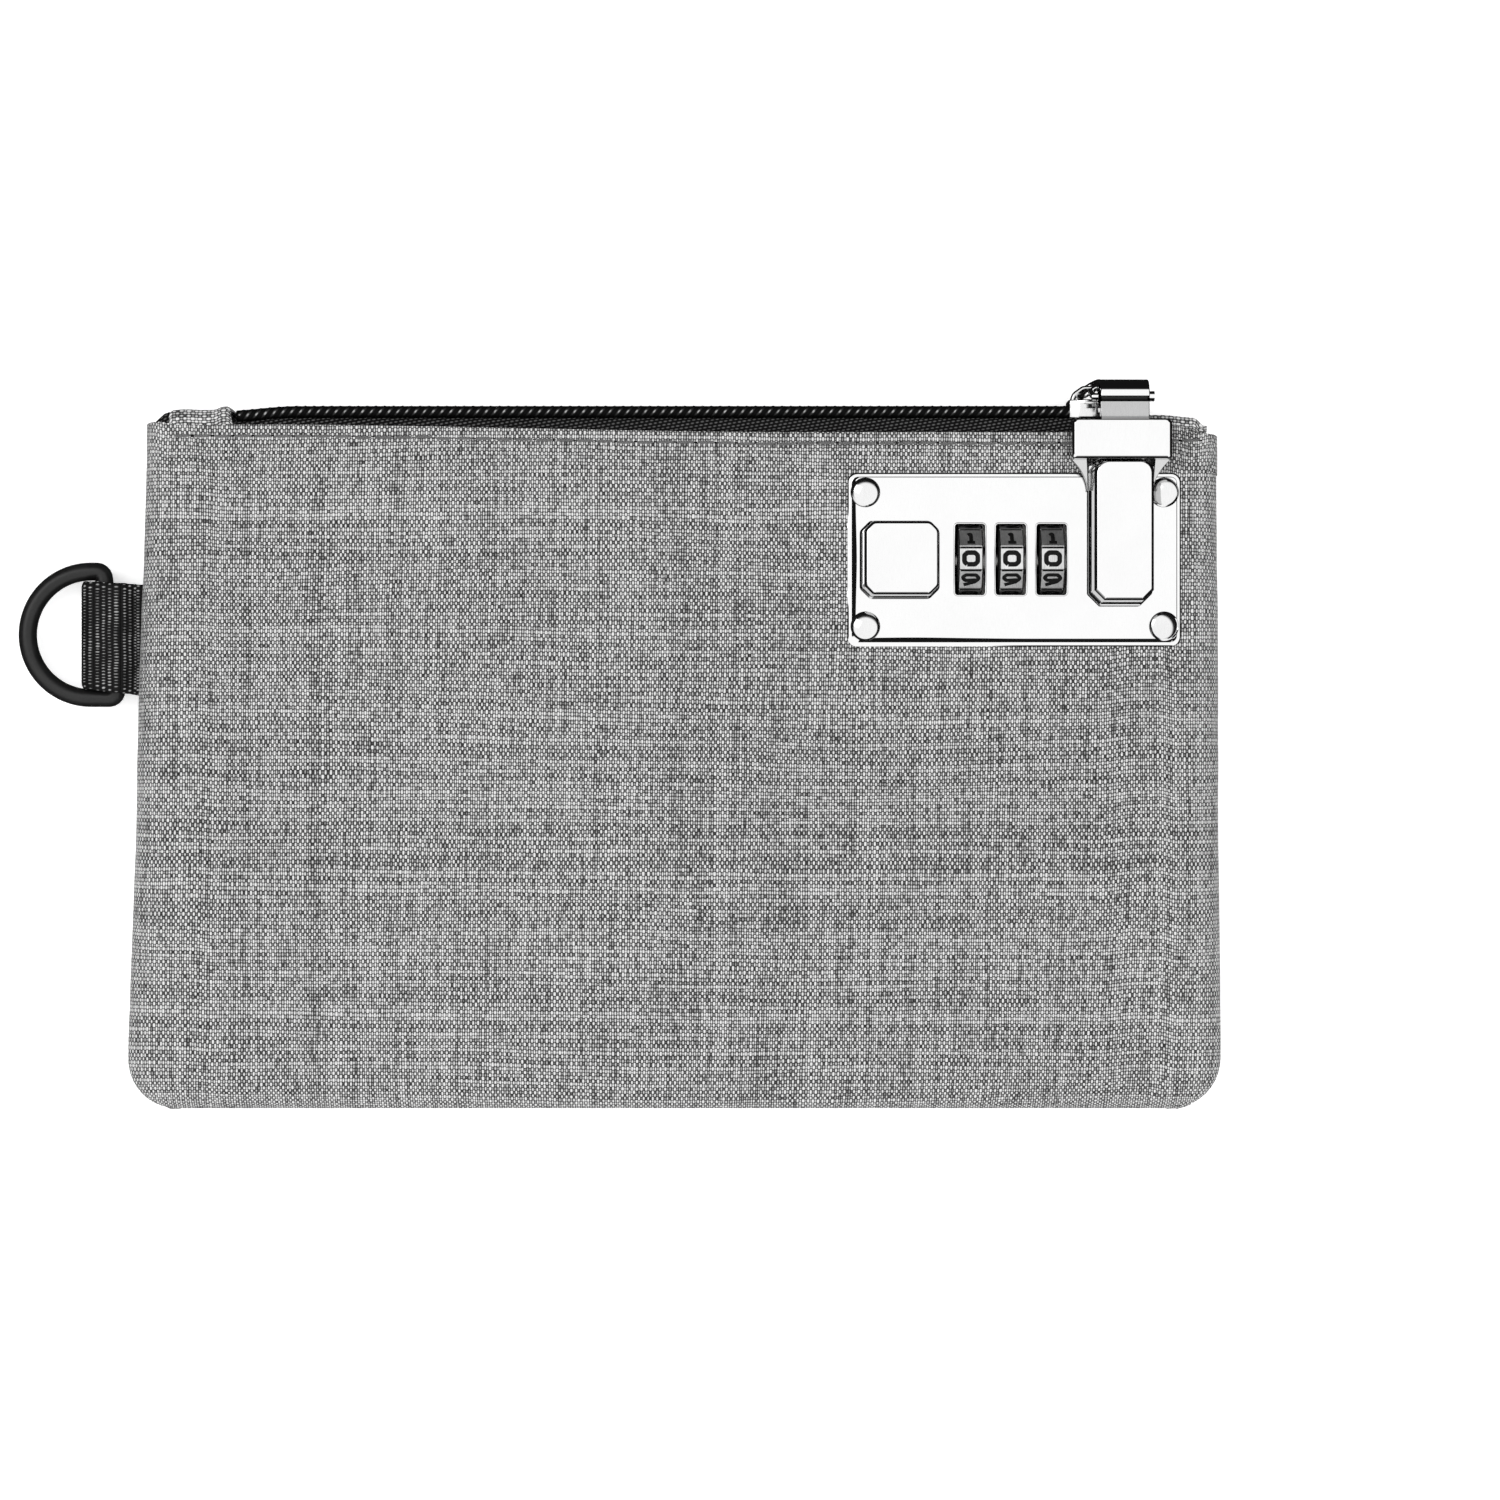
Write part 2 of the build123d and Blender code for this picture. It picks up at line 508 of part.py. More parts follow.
def webbing_loop():
    """Webbing folded round the ring's bar, with both ends sewn into the side seam."""
    half_in = RING_WIRE_R + 0.35
    out = half_in + WEB_T
    seam = WEB_SEAM_X
    outer = [(seam, SEAM_Z - WEB_T), (-101.5, SEAM_Z - WEB_T), (-104.2, SEAM_Z - out),
             (WEB_FOLD_X, SEAM_Z - out), (WEB_FOLD_X, SEAM_Z + out), (-104.2, SEAM_Z + out),
             (-101.5, SEAM_Z + WEB_T), (seam, SEAM_Z + WEB_T)]
    inner = [(-102.0, SEAM_Z), (-104.2, SEAM_Z - half_in), (WEB_FOLD_X + WEB_T, SEAM_Z - half_in),
             (WEB_FOLD_X + WEB_T, SEAM_Z + half_in), (-104.2, SEAM_Z + half_in)]
    band = profile_y(outer, [0.1, 1.0, 1.0, out - 0.2, out - 0.2, 1.0, 1.0, 0.1])
    return band - profile_y(inner, [0.2, 1.0, half_in - 0.1, half_in - 0.1, 1.0])


def profile_y(points, radii):
    """Closed XZ outline with rounded corners, run along the webbing's width."""
    wire = FilletPolyline(*[(x, 0, z) for x, z in points], radius=radii, close=True)
    start = Pos(0, RING_Y - WEB_HALF_W, 0)
    return extrude(start * make_face(wire), 2 * WEB_HALF_W, dir=(0, 1, 0))


def write(name, shape):
    """Save one sub-part."""
    export_step(shape, f"parts/{name}.step")


def main():
    front, back = bag_panels()
    write("front_panel", front)
    write("back_panel", back)
    write("zipper_tape_front", tape(1))
    write("zipper_tape_back", tape(-1))
    write("zipper_coil_front", coil(1))
    write("zipper_coil_back", coil(-1))
    write("zipper_stops", zipper_stops())
    write("end_tab_left", end_tab(*TAB_LEFT))
    write("end_tab_right", end_tab(*TAB_RIGHT))
    write("slider_body", slider_body())
    write("slider_bail", slider_bail())
    write("eye_pin", eye_pin())
    write("puller_head", puller_head())
    write("puller_tongue", puller_tongue())
    write("lock_face_plate", lock_face_plate())
    write("lock_rivets", lock_rivets())
    write("clamp_plate", clamp_plate())
    write("lock_case", lock_case())
    write("dial_axle", dial_axle())
    for number, x in enumerate(DIAL_X, start=1):
        write(f"dial_{number}", dial(x))
        write(f"code_sleeve_{number}", code_sleeve(x))
    write("gate_lever", gate_lever())
    write("detent_spring", detent_spring())
    write("release_button", release_button())
    write("lock_bar", lock_bar())
    write("return_spring", return_spring())
    write("d_ring", d_ring())
    write("webbing_loop", webbing_loop())


if __name__ == "__main__":
    main()
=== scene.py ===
"""Looks of the zip-top cash bag: woven panels, zipper, chrome lock and puller, black D-ring.

Shapes are worked out in millimetres in the CAD frame and written to Blender in metres:
+Z out of the front face, +Y towards the zipper, +X towards the lock.
"""
import math
import bpy
import bmesh
import numpy as np
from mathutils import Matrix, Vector

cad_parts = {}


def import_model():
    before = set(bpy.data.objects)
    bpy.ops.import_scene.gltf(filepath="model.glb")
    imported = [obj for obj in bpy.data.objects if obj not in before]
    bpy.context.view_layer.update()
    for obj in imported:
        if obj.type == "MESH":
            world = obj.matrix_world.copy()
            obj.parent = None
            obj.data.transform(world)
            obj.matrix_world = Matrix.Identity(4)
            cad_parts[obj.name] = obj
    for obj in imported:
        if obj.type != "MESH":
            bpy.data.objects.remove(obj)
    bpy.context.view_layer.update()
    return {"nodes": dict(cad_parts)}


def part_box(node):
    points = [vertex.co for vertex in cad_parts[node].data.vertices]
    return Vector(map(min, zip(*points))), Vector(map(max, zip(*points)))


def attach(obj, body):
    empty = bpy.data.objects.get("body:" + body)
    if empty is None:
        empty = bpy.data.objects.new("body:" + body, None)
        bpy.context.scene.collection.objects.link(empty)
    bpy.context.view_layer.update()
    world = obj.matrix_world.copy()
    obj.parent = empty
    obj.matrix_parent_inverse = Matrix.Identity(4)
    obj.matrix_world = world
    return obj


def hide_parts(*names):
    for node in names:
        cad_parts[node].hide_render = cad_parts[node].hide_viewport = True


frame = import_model()

MM = 0.001
scene = bpy.context.scene


def corners(node):
    """Lowest and highest corner of a CAD node, in millimetres."""
    low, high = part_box(node)
    return np.array(low) / MM, np.array(high) / MM


# ---------------- driving dimensions, mm
BACK_LOW, BACK_HIGH = corners("back_panel")
FRONT_LOW, FRONT_HIGH = corners("front_panel")
SEAM_Z = FRONT_LOW[2]
FRONT_Z = FRONT_HIGH[2]
BOTTOM, TOP = BACK_LOW[1], BACK_HIGH[1]
HALF_W = BACK_HIGH[0]
TOP_LEFT, TOP_RIGHT = -98.5, 102.0      # the sides lean in towards the mouth
MOUTH_Y, BACK_MOUTH_Y = 62.1, 64.0      # folded edges of the front and back panel at the left
STITCH_DROP = 2.1                       # topstitching below the front's folded edge
CORNER_R = 9.5
FABRIC = 0.3                            # thickness of the outer fabric
FOLD_R = 0.31                           # hem fold at the mouth
ROLL = 8.0                              # width over which a panel rolls down to its seam
CREASE = 0.9                            # the roll starts this far above the seam
WARP_PITCH, WEFT_PITCH = 0.445, 0.672   # spacing of the yarns that run up and across the bag

PLATE_LOW, PLATE_HIGH = corners("lock_face_plate")
LOCK = (PLATE_LOW + PLATE_HIGH) / 2
PLATE_W, PLATE_H = (PLATE_HIGH - PLATE_LOW)[:2]
PLATE_Z = PLATE_HIGH[2]
CASE_LOW, CASE_HIGH = corners("lock_case")


# ---------------- shape helpers
def smooth(t):
    """0 to 1 with soft ends."""
    t = np.clip(t, 0, 1)
    return t * t * (3 - 2 * t)


def waves(x, y, length, seed, count=7):
    """Soft random undulation from -1 to 1 with about the given wavelength."""
    rng = np.random.default_rng(seed)
    total = 0
    for _ in range(count):
        angle, phase = rng.uniform(0, 2 * math.pi, 2)
        k = 2 * math.pi / (length * rng.uniform(0.7, 1.6))
        total = total + np.sin(k * (x * math.cos(angle) + y * math.sin(angle)) + phase)
    return total / math.sqrt(count) / 1.6


def grid(rows, cols, wrap=False):
    """Quads over points numbered row by row; wrap joins the last column to the first."""
    faces = []
    for r in range(rows - 1):
        for c in range(cols if wrap else cols - 1):
            d = (c + 1) % cols
            faces.append((r * cols + c, r * cols + d, (r + 1) * cols + d, (r + 1) * cols + c))
    return faces


def join(parts):
    """One list of points and faces from several."""
    points, faces, start = [], [], 0
    for p, f in parts:
        points.append(np.asarray(p, float))
        faces += [tuple(i + start for i in face) for face in f]
        start += len(p)
    return np.concatenate(points), faces


def rounded(points, radii, closed=True, arc=5, side=1):
    """Path with rounded corners: `arc` steps round each corner and `side` steps along each side."""
    points = [np.array(p, float) for p in points]
    count = len(points)
    radii = [radii] * count if np.isscalar(radii) else radii
    out = []
    for k, corner in enumerate(points):
        if radii[k] <= 0 or (not closed and k in (0, count - 1)):
            out.append(corner)
            continue
        a, b = points[k - 1] - corner, points[(k + 1) % count] - corner
        longest = 0.499 * min(np.linalg.norm(a), np.linalg.norm(b))
        a, b = a / np.linalg.norm(a), b / np.linalg.norm(b)
        half = math.acos(np.clip(a @ b, -1, 1)) / 2
        reach = min(radii[k] / math.tan(half), longest)
        radius = reach * math.tan(half)
        bisector = (a + b) / np.linalg.norm(a + b)
        centre = corner + bisector * radius / math.sin(half)
        u, turn = corner + a * reach - centre, math.pi - 2 * half
        v = corner + b * reach - centre
        for t in np.linspace(0, 1, arc + 1):
            mixed = (math.sin((1 - t) * turn) * u + math.sin(t * turn) * v) / math.sin(turn)
            out.append(centre + mixed)
    if side > 1:
        kept = []
        for k, p in enumerate(out):
            q = out[(k + 1) % len(out)]
            last = k == len(out) - 1 and not closed
            steps = side if k % (arc + 1) == arc and not last else 1
            kept += [p + (q - p) * i / steps for i in range(steps)]
        out = kept
    return np.array(out)


def sheet_shape(points, flip=False):
    """Points of a (rows, cols, 3) grid and the quads between them; flip turns the quads over."""
    faces = grid(*points.shape[:2])
    return points.reshape(-1, 3), [tuple(reversed(face)) for face in faces] if flip else faces


def bent(outline, radii, arc, step):
    """Open path with rounded corners as points about `step` apart, and their distances along it."""
    return evenly(rounded(outline, radii, closed=False, arc=arc), step)


def evenly(path, step):
    """Points about `step` apart along a path, and their distances along it."""
    path = np.asarray(path, float)
    along = np.concatenate([[0], np.cumsum(np.linalg.norm(np.diff(path, axis=0), axis=1))])
    at = np.linspace(0, along[-1], max(2, round(along[-1] / step) + 1))
    return np.stack([np.interp(at, along, path[:, i]) for i in range(path.shape[1])], 1), at


def tube(path, radius, ring=10, closed=False, flat=None):
    """Round bar along a path. radius may be a list; flat = (direction, share) squeezes it."""
    path = np.asarray(path, float)
    radius = np.broadcast_to(radius, len(path))
    if closed:
        tangent = np.roll(path, -1, 0) - np.roll(path, 1, 0)
    else:
        tangent = np.gradient(path, axis=0)
    tangent /= np.linalg.norm(tangent, axis=1)[:, None]
    side = np.cross(tangent[0], (0.12, 0.37, 0.92))
    rows = []
    for p, t, r in zip(path, tangent, radius):
        side = side - t * (side @ t)
        side /= np.linalg.norm(side)
        offset = r * (circle(ring) @ np.array([side, np.cross(t, side)]))
        if flat is not None:
            direction, share = np.array(flat[0], float), flat[1]
            offset -= (1 - share) * (offset @ direction)[:, None] * direction
        rows.append(p + offset)
    points = np.concatenate(rows)
    faces = grid(len(path), ring, wrap=True)
    if closed:
        last = (len(path) - 1) * ring
        faces += [(last + c, last + (c + 1) % ring, (c + 1) % ring, c) for c in range(ring)]
    else:
        faces += [tuple(reversed(range(ring)))]
        faces += [tuple(range((len(path) - 1) * ring, len(path) * ring))]
    return points, faces


def stack(loops):
    """Closed solid through loops that each run anticlockwise seen from above, from bottom to top."""
    count = len(loops[0])
    faces = grid(len(loops), count, wrap=True)
    faces += [tuple(reversed(range(count)))]
    faces += [tuple(range((len(loops) - 1) * count, len(loops) * count))]
    return np.concatenate(loops), faces


def lay(flat, axis, value):
    """Plane points as 3-D points that all have `value` on the missing axis."""
    return np.insert(np.asarray(flat, float), axis, value, axis=1)


def prism(outline, start, end, axis=2):
    """Straight solid over a closed outline, along one axis."""
    return stack([lay(outline, axis, value) for value in (start, end)])


def slab(outline, levels, at=(0, 0), lean=(0, 0)):
    """Stack of outline(inset) at each (inset, z) level, bottom to top, moved to `at`.
    The top stands `lean` to one side of the bottom."""
    z0, z1 = levels[0][1], levels[-1][1]
    return stack([lay(outline(inset) + np.array(at) + np.array(lean) * ((z - z0) / (z1 - z0)), 2, z)
                  for inset, z in levels])


def circle(count):
    """Points round a circle of radius 1."""
    turn = np.linspace(0, 2 * math.pi, count, endpoint=False)
    return np.column_stack([np.cos(turn), np.sin(turn)])


def rectangle(x0, y0, x1, y1):
    """Corners of a rectangle, anticlockwise."""
    return [(x0, y0), (x1, y0), (x1, y1), (x0, y1)]


def notched(w, low, high, k):
    """Rectangle from -w to w whose two lower corners are cut off by k."""
    return [(-w, low + k), (-w + k, low), (w - k, low), (w, low + k), (w, high), (-w, high)]


# ---------------- pieces
def piece(name, shape, body, material, replaces=(), sharp=35, cloth=None):
    """Mesh piece from points in millimetres, riding on a CAD body."""
    points, faces = shape
    mesh = bpy.data.meshes.new(name)
    mesh.from_pydata((np.asarray(points) * MM).tolist(), [], faces)
    mesh.update()
    mesh.polygons.foreach_set("use_smooth", [True] * len(mesh.polygons))
    if sharp:
        mesh.set_sharp_from_angle(angle=math.radians(sharp))
    if cloth is not None:
        threads = mesh.attributes.new("cloth", "FLOAT_VECTOR", "POINT")
        threads.data.foreach_set("vector", np.asarray(cloth, float).ravel())
    mesh.materials.append(material)
    made = bpy.data.objects.new(name, mesh)
    scene.collection.objects.link(made)
    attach(made, body)
    if replaces:
        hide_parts(*replaces)
    return made


def outward(made):
    """Turns every face of a closed piece outwards."""
    work = bmesh.new()
    work.from_mesh(made.data)
    bmesh.ops.recalc_face_normals(work, faces=work.faces)
    work.to_mesh(made.data)
    work.free()
    return made


def crisp(made):
    """Keeps flat faces flat where they meet rounded edges."""
    made.modifiers.new("flats", "WEIGHTED_NORMAL").keep_sharp = True


def thicken(made, thickness, offset=-1.0):
    """Gives a sheet its thickness, inwards by default."""
    shell = made.modifiers.new("thickness", "SOLIDIFY")
    shell.thickness = thickness * MM
    shell.offset = offset


def finish_node(name, material):
    """Better material on a CAD node that stays."""
    node = frame["nodes"][name]
    node.data.materials.clear()
    node.data.materials.append(material)
    node.data.polygons.foreach_set("use_smooth", [True] * len(node.data.polygons))
    node.data.set_sharp_from_angle(angle=math.radians(30))


# ---------------- shader helpers
def arithmetic(kind):
    """Method of Num that adds one math node."""
    def method(self, *others):
        return self.op(kind, *others)
    return method


class Num:
    """A number in a shader, so that node arithmetic can be written as arithmetic."""

    def __init__(self, tree, value):
        self.tree, self.value = tree, value

    def op(self, kind, *others):
        node = self.tree.nodes.new("ShaderNodeMath")
        node.operation = kind
        for socket, other in zip(node.inputs, (self, *others)):
            value = other.value if isinstance(other, Num) else other
            if isinstance(value, (int, float)):
                socket.default_value = value
            else:
                self.tree.links.new(value, socket)
        return Num(self.tree, node.outputs[0])

    __add__ = arithmetic("ADD")
    __sub__ = arithmetic("SUBTRACT")
    __mul__ = arithmetic("MULTIPLY")
    __truediv__ = arithmetic("DIVIDE")
    floor = arithmetic("FLOOR")
    fract = arithmetic("FRACT")
    mod = arithmetic("FLOORED_MODULO")
    cos = arithmetic("COSINE")
    abs = arithmetic("ABSOLUTE")
    power = arithmetic("POWER")
    least = arithmetic("MINIMUM")
    most = arithmetic("MAXIMUM")

    def clamp(self, low=0.0, high=1.0):
        return self.most(low).least(high)

    def mix(self, other, share):
        """self where share is 0, other where it is 1."""
        return self + (other - self) * share


class Shader:
    """A Principled material with helpers for its node tree."""

    def __init__(self, name, **settings):
        self.material = bpy.data.materials.new(name)
        self.material.use_nodes = True
        self.tree = self.material.node_tree
        self.surface = self.tree.nodes["Principled BSDF"]
        for key, value in settings.items():
            self.surface.inputs[key.replace("_", " ")].default_value = value

    def split(self, socket):
        """The three parts of a vector."""
        node = self.tree.nodes.new("ShaderNodeSeparateXYZ")
        self.tree.links.new(socket, node.inputs[0])
        return [Num(self.tree, out) for out in node.outputs]

    def place(self):
        """Place in the CAD frame at rest, in millimetres, as three numbers."""
        node = self.tree.nodes.new("ShaderNodeTexCoord")
        return [part * 1000 for part in self.split(node.outputs["Object"])]

    def cloth(self):
        """Thread coordinates of a fabric piece, in millimetres."""
        node = self.tree.nodes.new("ShaderNodeAttribute")
        node.attribute_name = "cloth"
        return self.split(node.outputs["Vector"])[:2]

    def vector(self, *parts):
        node = self.tree.nodes.new("ShaderNodeCombineXYZ")
        for socket, part in zip(node.inputs, parts):
            if isinstance(part, Num):
                self.tree.links.new(part.value, socket)
            else:
                socket.default_value = part
        return node.outputs[0]

    def noise(self, *parts, detail=2.0, rough=0.5):
        """Smooth noise over three numbers."""
        node = self.tree.nodes.new("ShaderNodeTexNoise")
        node.inputs["Scale"].default_value = 1.0
        node.inputs["Detail"].default_value = detail
        node.inputs["Roughness"].default_value = rough
        self.tree.links.new(self.vector(*parts), node.inputs["Vector"])
        return Num(self.tree, node.outputs["Fac"])

    def grain(self, density, detail, rough=0.5):
        """Noise over the place in the CAD frame, with `density` features to a millimetre."""
        return self.noise(*[part * density for part in self.place()], detail=detail, rough=rough)

    def random(self, *parts):
        """White noise that is constant where its inputs are."""
        node = self.tree.nodes.new("ShaderNodeTexWhiteNoise")
        node.noise_dimensions = "3D"
        self.tree.links.new(self.vector(*parts), node.inputs["Vector"])
        return Num(self.tree, node.outputs["Value"])

    def base(self, number, *stops):
        """Base colour from grey levels (linear) or colours at positions along a number."""
        node = self.tree.nodes.new("ShaderNodeValToRGB")
        elements = node.color_ramp.elements
        while len(elements) < len(stops):
            elements.new(0.5)
        for element, (position, colour) in zip(elements, stops):
            element.position = position
            shade = colour if hasattr(colour, "__len__") else (colour,) * 3
            element.color = (*shade, 1)
        self.tree.links.new(number.value, node.inputs[0])
        self.tree.links.new(node.outputs["Color"], self.surface.inputs["Base Color"])

    def roughness(self, number):
        self.tree.links.new(number.value, self.surface.inputs["Roughness"])

    def bump(self, height, depth, strength=1.0):
        """Bump of that depth, in millimetres, where height runs from 0 to 1."""
        node = self.tree.nodes.new("ShaderNodeBump")
        node.inputs["Strength"].default_value = strength
        node.inputs["Distance"].default_value = depth * MM
        self.tree.links.new(height.value, node.inputs["Height"])
        self.tree.links.new(node.outputs["Normal"], self.surface.inputs["Normal"])


# ---------------- materials
def melange_fabric():
    """Plain weave of grey melange yarn: every thread has its own slowly changing tone. The weave's relief
    is painted into the base colour as shade: lighter thread crowns, darker yarn sides, dark gaps where four
    cells meet and dark deep crossings.
    """
    s = Shader("melange_fabric", Roughness=0.85, Sheen_Weight=0.08, Sheen_Roughness=0.6)
    u, v = s.cloth()
    drift_u = s.noise(u * 0.05, v * 0.012, 3.1, detail=3) - 0.5
    drift_v = s.noise(u * 0.012, v * 0.05, 8.7, detail=3) - 0.5
    thick_u = s.noise(u * 0.9, v * 0.04, 5.5, detail=2) - 0.5
    thick_v = s.noise(u * 0.04, v * 0.6, 6.5, detail=2) - 0.5
    across = u / WARP_PITCH + drift_u * 5.0 + thick_u * 0.8
    along = v / WEFT_PITCH + drift_v * 5.0 + thick_v * 0.8
    i, j = across.floor(), along.floor()
    du, dv = across.fract() - 0.5, along.fract() - 0.5
    warp_up = (i + j).mod(2.0)

    def yarn(index, run, seed, slub, fleck):
        """Shade along one yarn: long slubs, short flecks and its own mean."""
        long = s.noise(index * 17.31, run * 0.06, seed, detail=2, rough=0.6)
        short = s.noise(index * 7.77, run * 1.4, seed + 5.0, detail=2, rough=0.7)
        own = s.random(index, seed, 0.5)
        return (long - 0.5) * slub + (short - 0.5) * fleck + (own - 0.5) * 0.34

    patch = s.noise(u * 0.06, v * 0.06, 9.0, detail=2) - 0.5
    warp = yarn(i, v, 1.0, 0.85, 0.80) + patch * 0.42 + 0.26
    weft = yarn(j, u, 40.0, 0.60, 0.60) - patch * 0.42 - 0.31
    tone = weft.mix(warp, warp_up * 0.60 + 0.20)        # the yarn below still shows at the sides
    crown = (du.mix(dv, warp_up) * math.pi).cos()       # along the yarn on top
    side = (dv.mix(du, warp_up) * math.pi).cos()        # across it
    arch = warp_up * -0.40 + 0.72                       # the weft bends more than the warp
    height = side.power(0.55) * (crown * arch - arch + 1.0)
    pinhole_shade = ((du * math.pi).cos() * -1.0 + 1.0) * ((dv * math.pi).cos() * -1.0 + 1.0)
    fleck = s.random(i, j, 2.0) - 0.5
    shadow = s.random(i, j, 7.0).power(3.0)             # now and then a deep crossing
    # Base colour: yarn tone and flecks, plus painted shade from the relief. Height lightens the crowns and
    # darkens the sides; the corner term and shadow darken the gaps and crossings.
    shade = tone * 1.1 + fleck * 0.26 + height * 1.05 - pinhole_shade * 0.55 - shadow * 0.36 + 0.01
    s.base(shade.clamp(), (0.0, 0.004), (0.25, 0.040), (0.5, 0.17), (0.75, 0.43), (1.0, 0.68))
    s.bump(height + tone * 0.15, 0.11)
    return s.material


def twill_tape():
    """Black zipper tape: fine twill with small diagonal floats, whose crests are painted lighter as a
    painted highlight.
    """
    s = Shader("twill_tape", Roughness=0.8, Specular_IOR_Level=0.1)
    u, v = s.cloth()
    row = v / 0.58 + u * 0.28
    cell = row.floor()
    bead = (u / 0.95 + cell * 0.37).fract() - 0.5
    across = ((row.fract() - 0.5) * math.pi).cos()
    height = across * ((bead * math.pi).cos() * 0.6 + 0.4)
    tone = s.noise(u * 0.8, v * 2.0, 0.3, detail=3)
    # Base colour follows the float height: painted highlight on the crests, painted shade between them.
    s.base((height * 0.8 + tone * 0.3).clamp(), (0.3, 0.001), (0.62, 0.004), (0.9, 0.085))
    s.bump(height, 0.14)
    return s.material


def black_webbing():
    """Black webbing: ribs across it with a row of small floats on every rib, painted grey on their crests
    as a painted highlight.
    """
    s = Shader("black_webbing", Roughness=0.7, Specular_IOR_Level=0.15)
    u, v = s.cloth()
    drift = s.noise(u * 0.2, v * 0.25, 2.0, detail=2) - 0.5
    rib = u / RIB_PITCH + drift * 0.25
    ridge = ((rib.fract() - 0.5) * math.pi).cos()
    bead = ((v / BEAD_PITCH + rib.floor() * 0.5 + drift).fract() - 0.5).abs() * -2.0 + 1.0
    fibre = s.noise(u * 1.6, v * 9.0, 0.0, detail=3)
    own = s.random(rib.floor(), (v / BEAD_PITCH + rib.floor() * 0.5 + drift).floor(), 3.0)
    # Base colour lighter on the crests of ribs and floats, the same pattern as the bump: painted highlight.
    shade = ridge.power(4.5) * (bead.power(2.6) * (own * 0.5 + 0.8) + 0.10) + (fibre - 0.5) * 0.16
    s.base(shade.clamp(), (0.05, 0.002), (0.35, 0.012), (0.85, 0.42))
    s.bump(shade, 0.12)
    return s.material


def grey_thread():
    """Grey sewing thread with its twist; the twist's ridges are painted lighter and its grooves darker, as
    painted shade.
    """
    s = Shader("grey_thread", Roughness=0.6, Sheen_Weight=0.1)
    x, y, z = s.place()
    twist = ((x * 1.9 + y * 3.1 + z * 3.1) * 2 * math.pi).cos()
    # Base colour follows the twist's relief: painted shade between the strands.
    s.base((twist * 0.5 + 0.5).clamp(), (0.0, 0.08), (1.0, 0.18))
    s.bump(twist, 0.05)
    return s.material


def coil_nylon():
    """Black nylon monofilament of the zipper coil, with a painted grey highlight on the crests of its
    turns.
    """
    s = Shader("coil_nylon", Specular_IOR_Level=0.25)
    x, y, z = s.place()
    tone = s.noise(x * 0.6, y, z, detail=3)
    crest = (z - ZIP_MIDDLE).abs()
    # Painted highlight: the colour turns grey on the outermost crests of the turns.
    crest_highlight = ((crest - COIL_CREST + 0.10) / 0.10).clamp() * (tone * 0.5 + 0.7)
    s.base(crest_highlight.clamp(), (0.0, 0.003), (0.45, 0.02), (1.0, 0.55))
    s.roughness(tone * 0.2 + 0.3)
    return s.material


def metal(name, level, rough, wear, tint=(1.0, 1.0, 1.0)):
    """Plated metal: faint polishing haze, fine scratches and softly uneven gloss."""
    s = Shader(name, Metallic=1.0)
    x, y, z = s.place()
    haze = s.grain(0.08, 4, 0.6)
    grain = s.noise(x * 6.0, y * 0.7, z * 3.0, detail=4, rough=0.7)
    shade = haze * 0.5 + grain * 0.5
    dark = tuple(level * (1 - wear) * c for c in tint)
    light = tuple(level * c for c in tint)
    s.base(shade, (0.25, dark), (0.6, light))
    s.roughness(shade * wear * 0.5 + rough)
    s.bump(grain, 0.002, 0.4)
    return s.material


def satin_black():
    """Black coated wire with a fine powder texture and spots worn by rubbing."""
    s = Shader("satin_black", Specular_IOR_Level=0.22, Coat_Weight=0.06, Coat_Roughness=0.25)
    grain, rub = s.grain(3.0, 4, 0.7), s.grain(0.2, 3)
    s.base(grain * 0.5 + rub * 0.5, (0.3, 0.004), (0.7, 0.014))
    s.roughness(rub * 0.2 + 0.26)
    s.bump(grain, 0.03)
    return s.material


def digit_paint_and_shade():
    """Black paint in the engraved digits; also painted shade on the wheels' end faces and in the grooves
    between their facets.
    """
    s = Shader("digit_paint_and_shade", Specular_IOR_Level=0.08)
    tone = s.grain(2.0, 3)
    s.base(tone, (0.3, 0.002), (0.8, 0.010))
    s.roughness(tone * 0.2 + 0.5)
    return s.material


COIL_TOP = float(corners("zipper_coil_front")[1][2])
COIL_SWELL = 0.12                       # the wound coil stands this much over its CAD node
ZIP_MIDDLE = (float(corners("zipper_coil_back")[0][2]) + COIL_TOP) / 2
COIL_CREST = COIL_TOP - ZIP_MIDDLE + COIL_SWELL
RIB_PITCH, BEAD_PITCH = 1.12, 0.56      # webbing's ribs and the floats along them
FABRIC_LOOK = melange_fabric()
TAPE_LOOK = twill_tape()
WEB_LOOK = black_webbing()
THREAD_LOOK = grey_thread()
COIL_LOOK = coil_nylon()
CHROME = metal("lock_chrome", 0.565, 0.03, 0.06)
BRIGHT = metal("puller_chrome", 0.56, 0.03, 0.06)
# Darker copy of the puller chrome for the neck strap's upper faces: painted shade.
NECK_SHADE_LOOK = metal("puller_neck_shade", 0.34, 0.12, 0.15)
# Near-black metal for the barrel's inside: painted shade.
CORE_SHADE_LOOK = metal("pin_core_shade", 0.02, 0.30, 0.30)
# Rougher, darker copy of the puller chrome for the wings; the darker colour is painted shade.
WING_SHADE_LOOK = metal("puller_wing", 0.42, 0.12, 0.12)
RIVET_LOOK = metal("rivet_chrome", 0.53, 0.08, 0.12)
SLIDER_LOOK = metal("slider_metal", 0.52, 0.12, 0.14)
DIAL_LOOK = metal("dial_metal", 0.58, 0.28, 0.65)
STEEL = metal("inner_steel", 0.55, 0.30, 0.25, (1.0, 0.99, 0.97))
BLACK_WIRE = satin_black()
# Digit paint, also used as painted shade on the wheels' sides and grooves.
PAINT_AND_SHADE = digit_paint_and_shade()


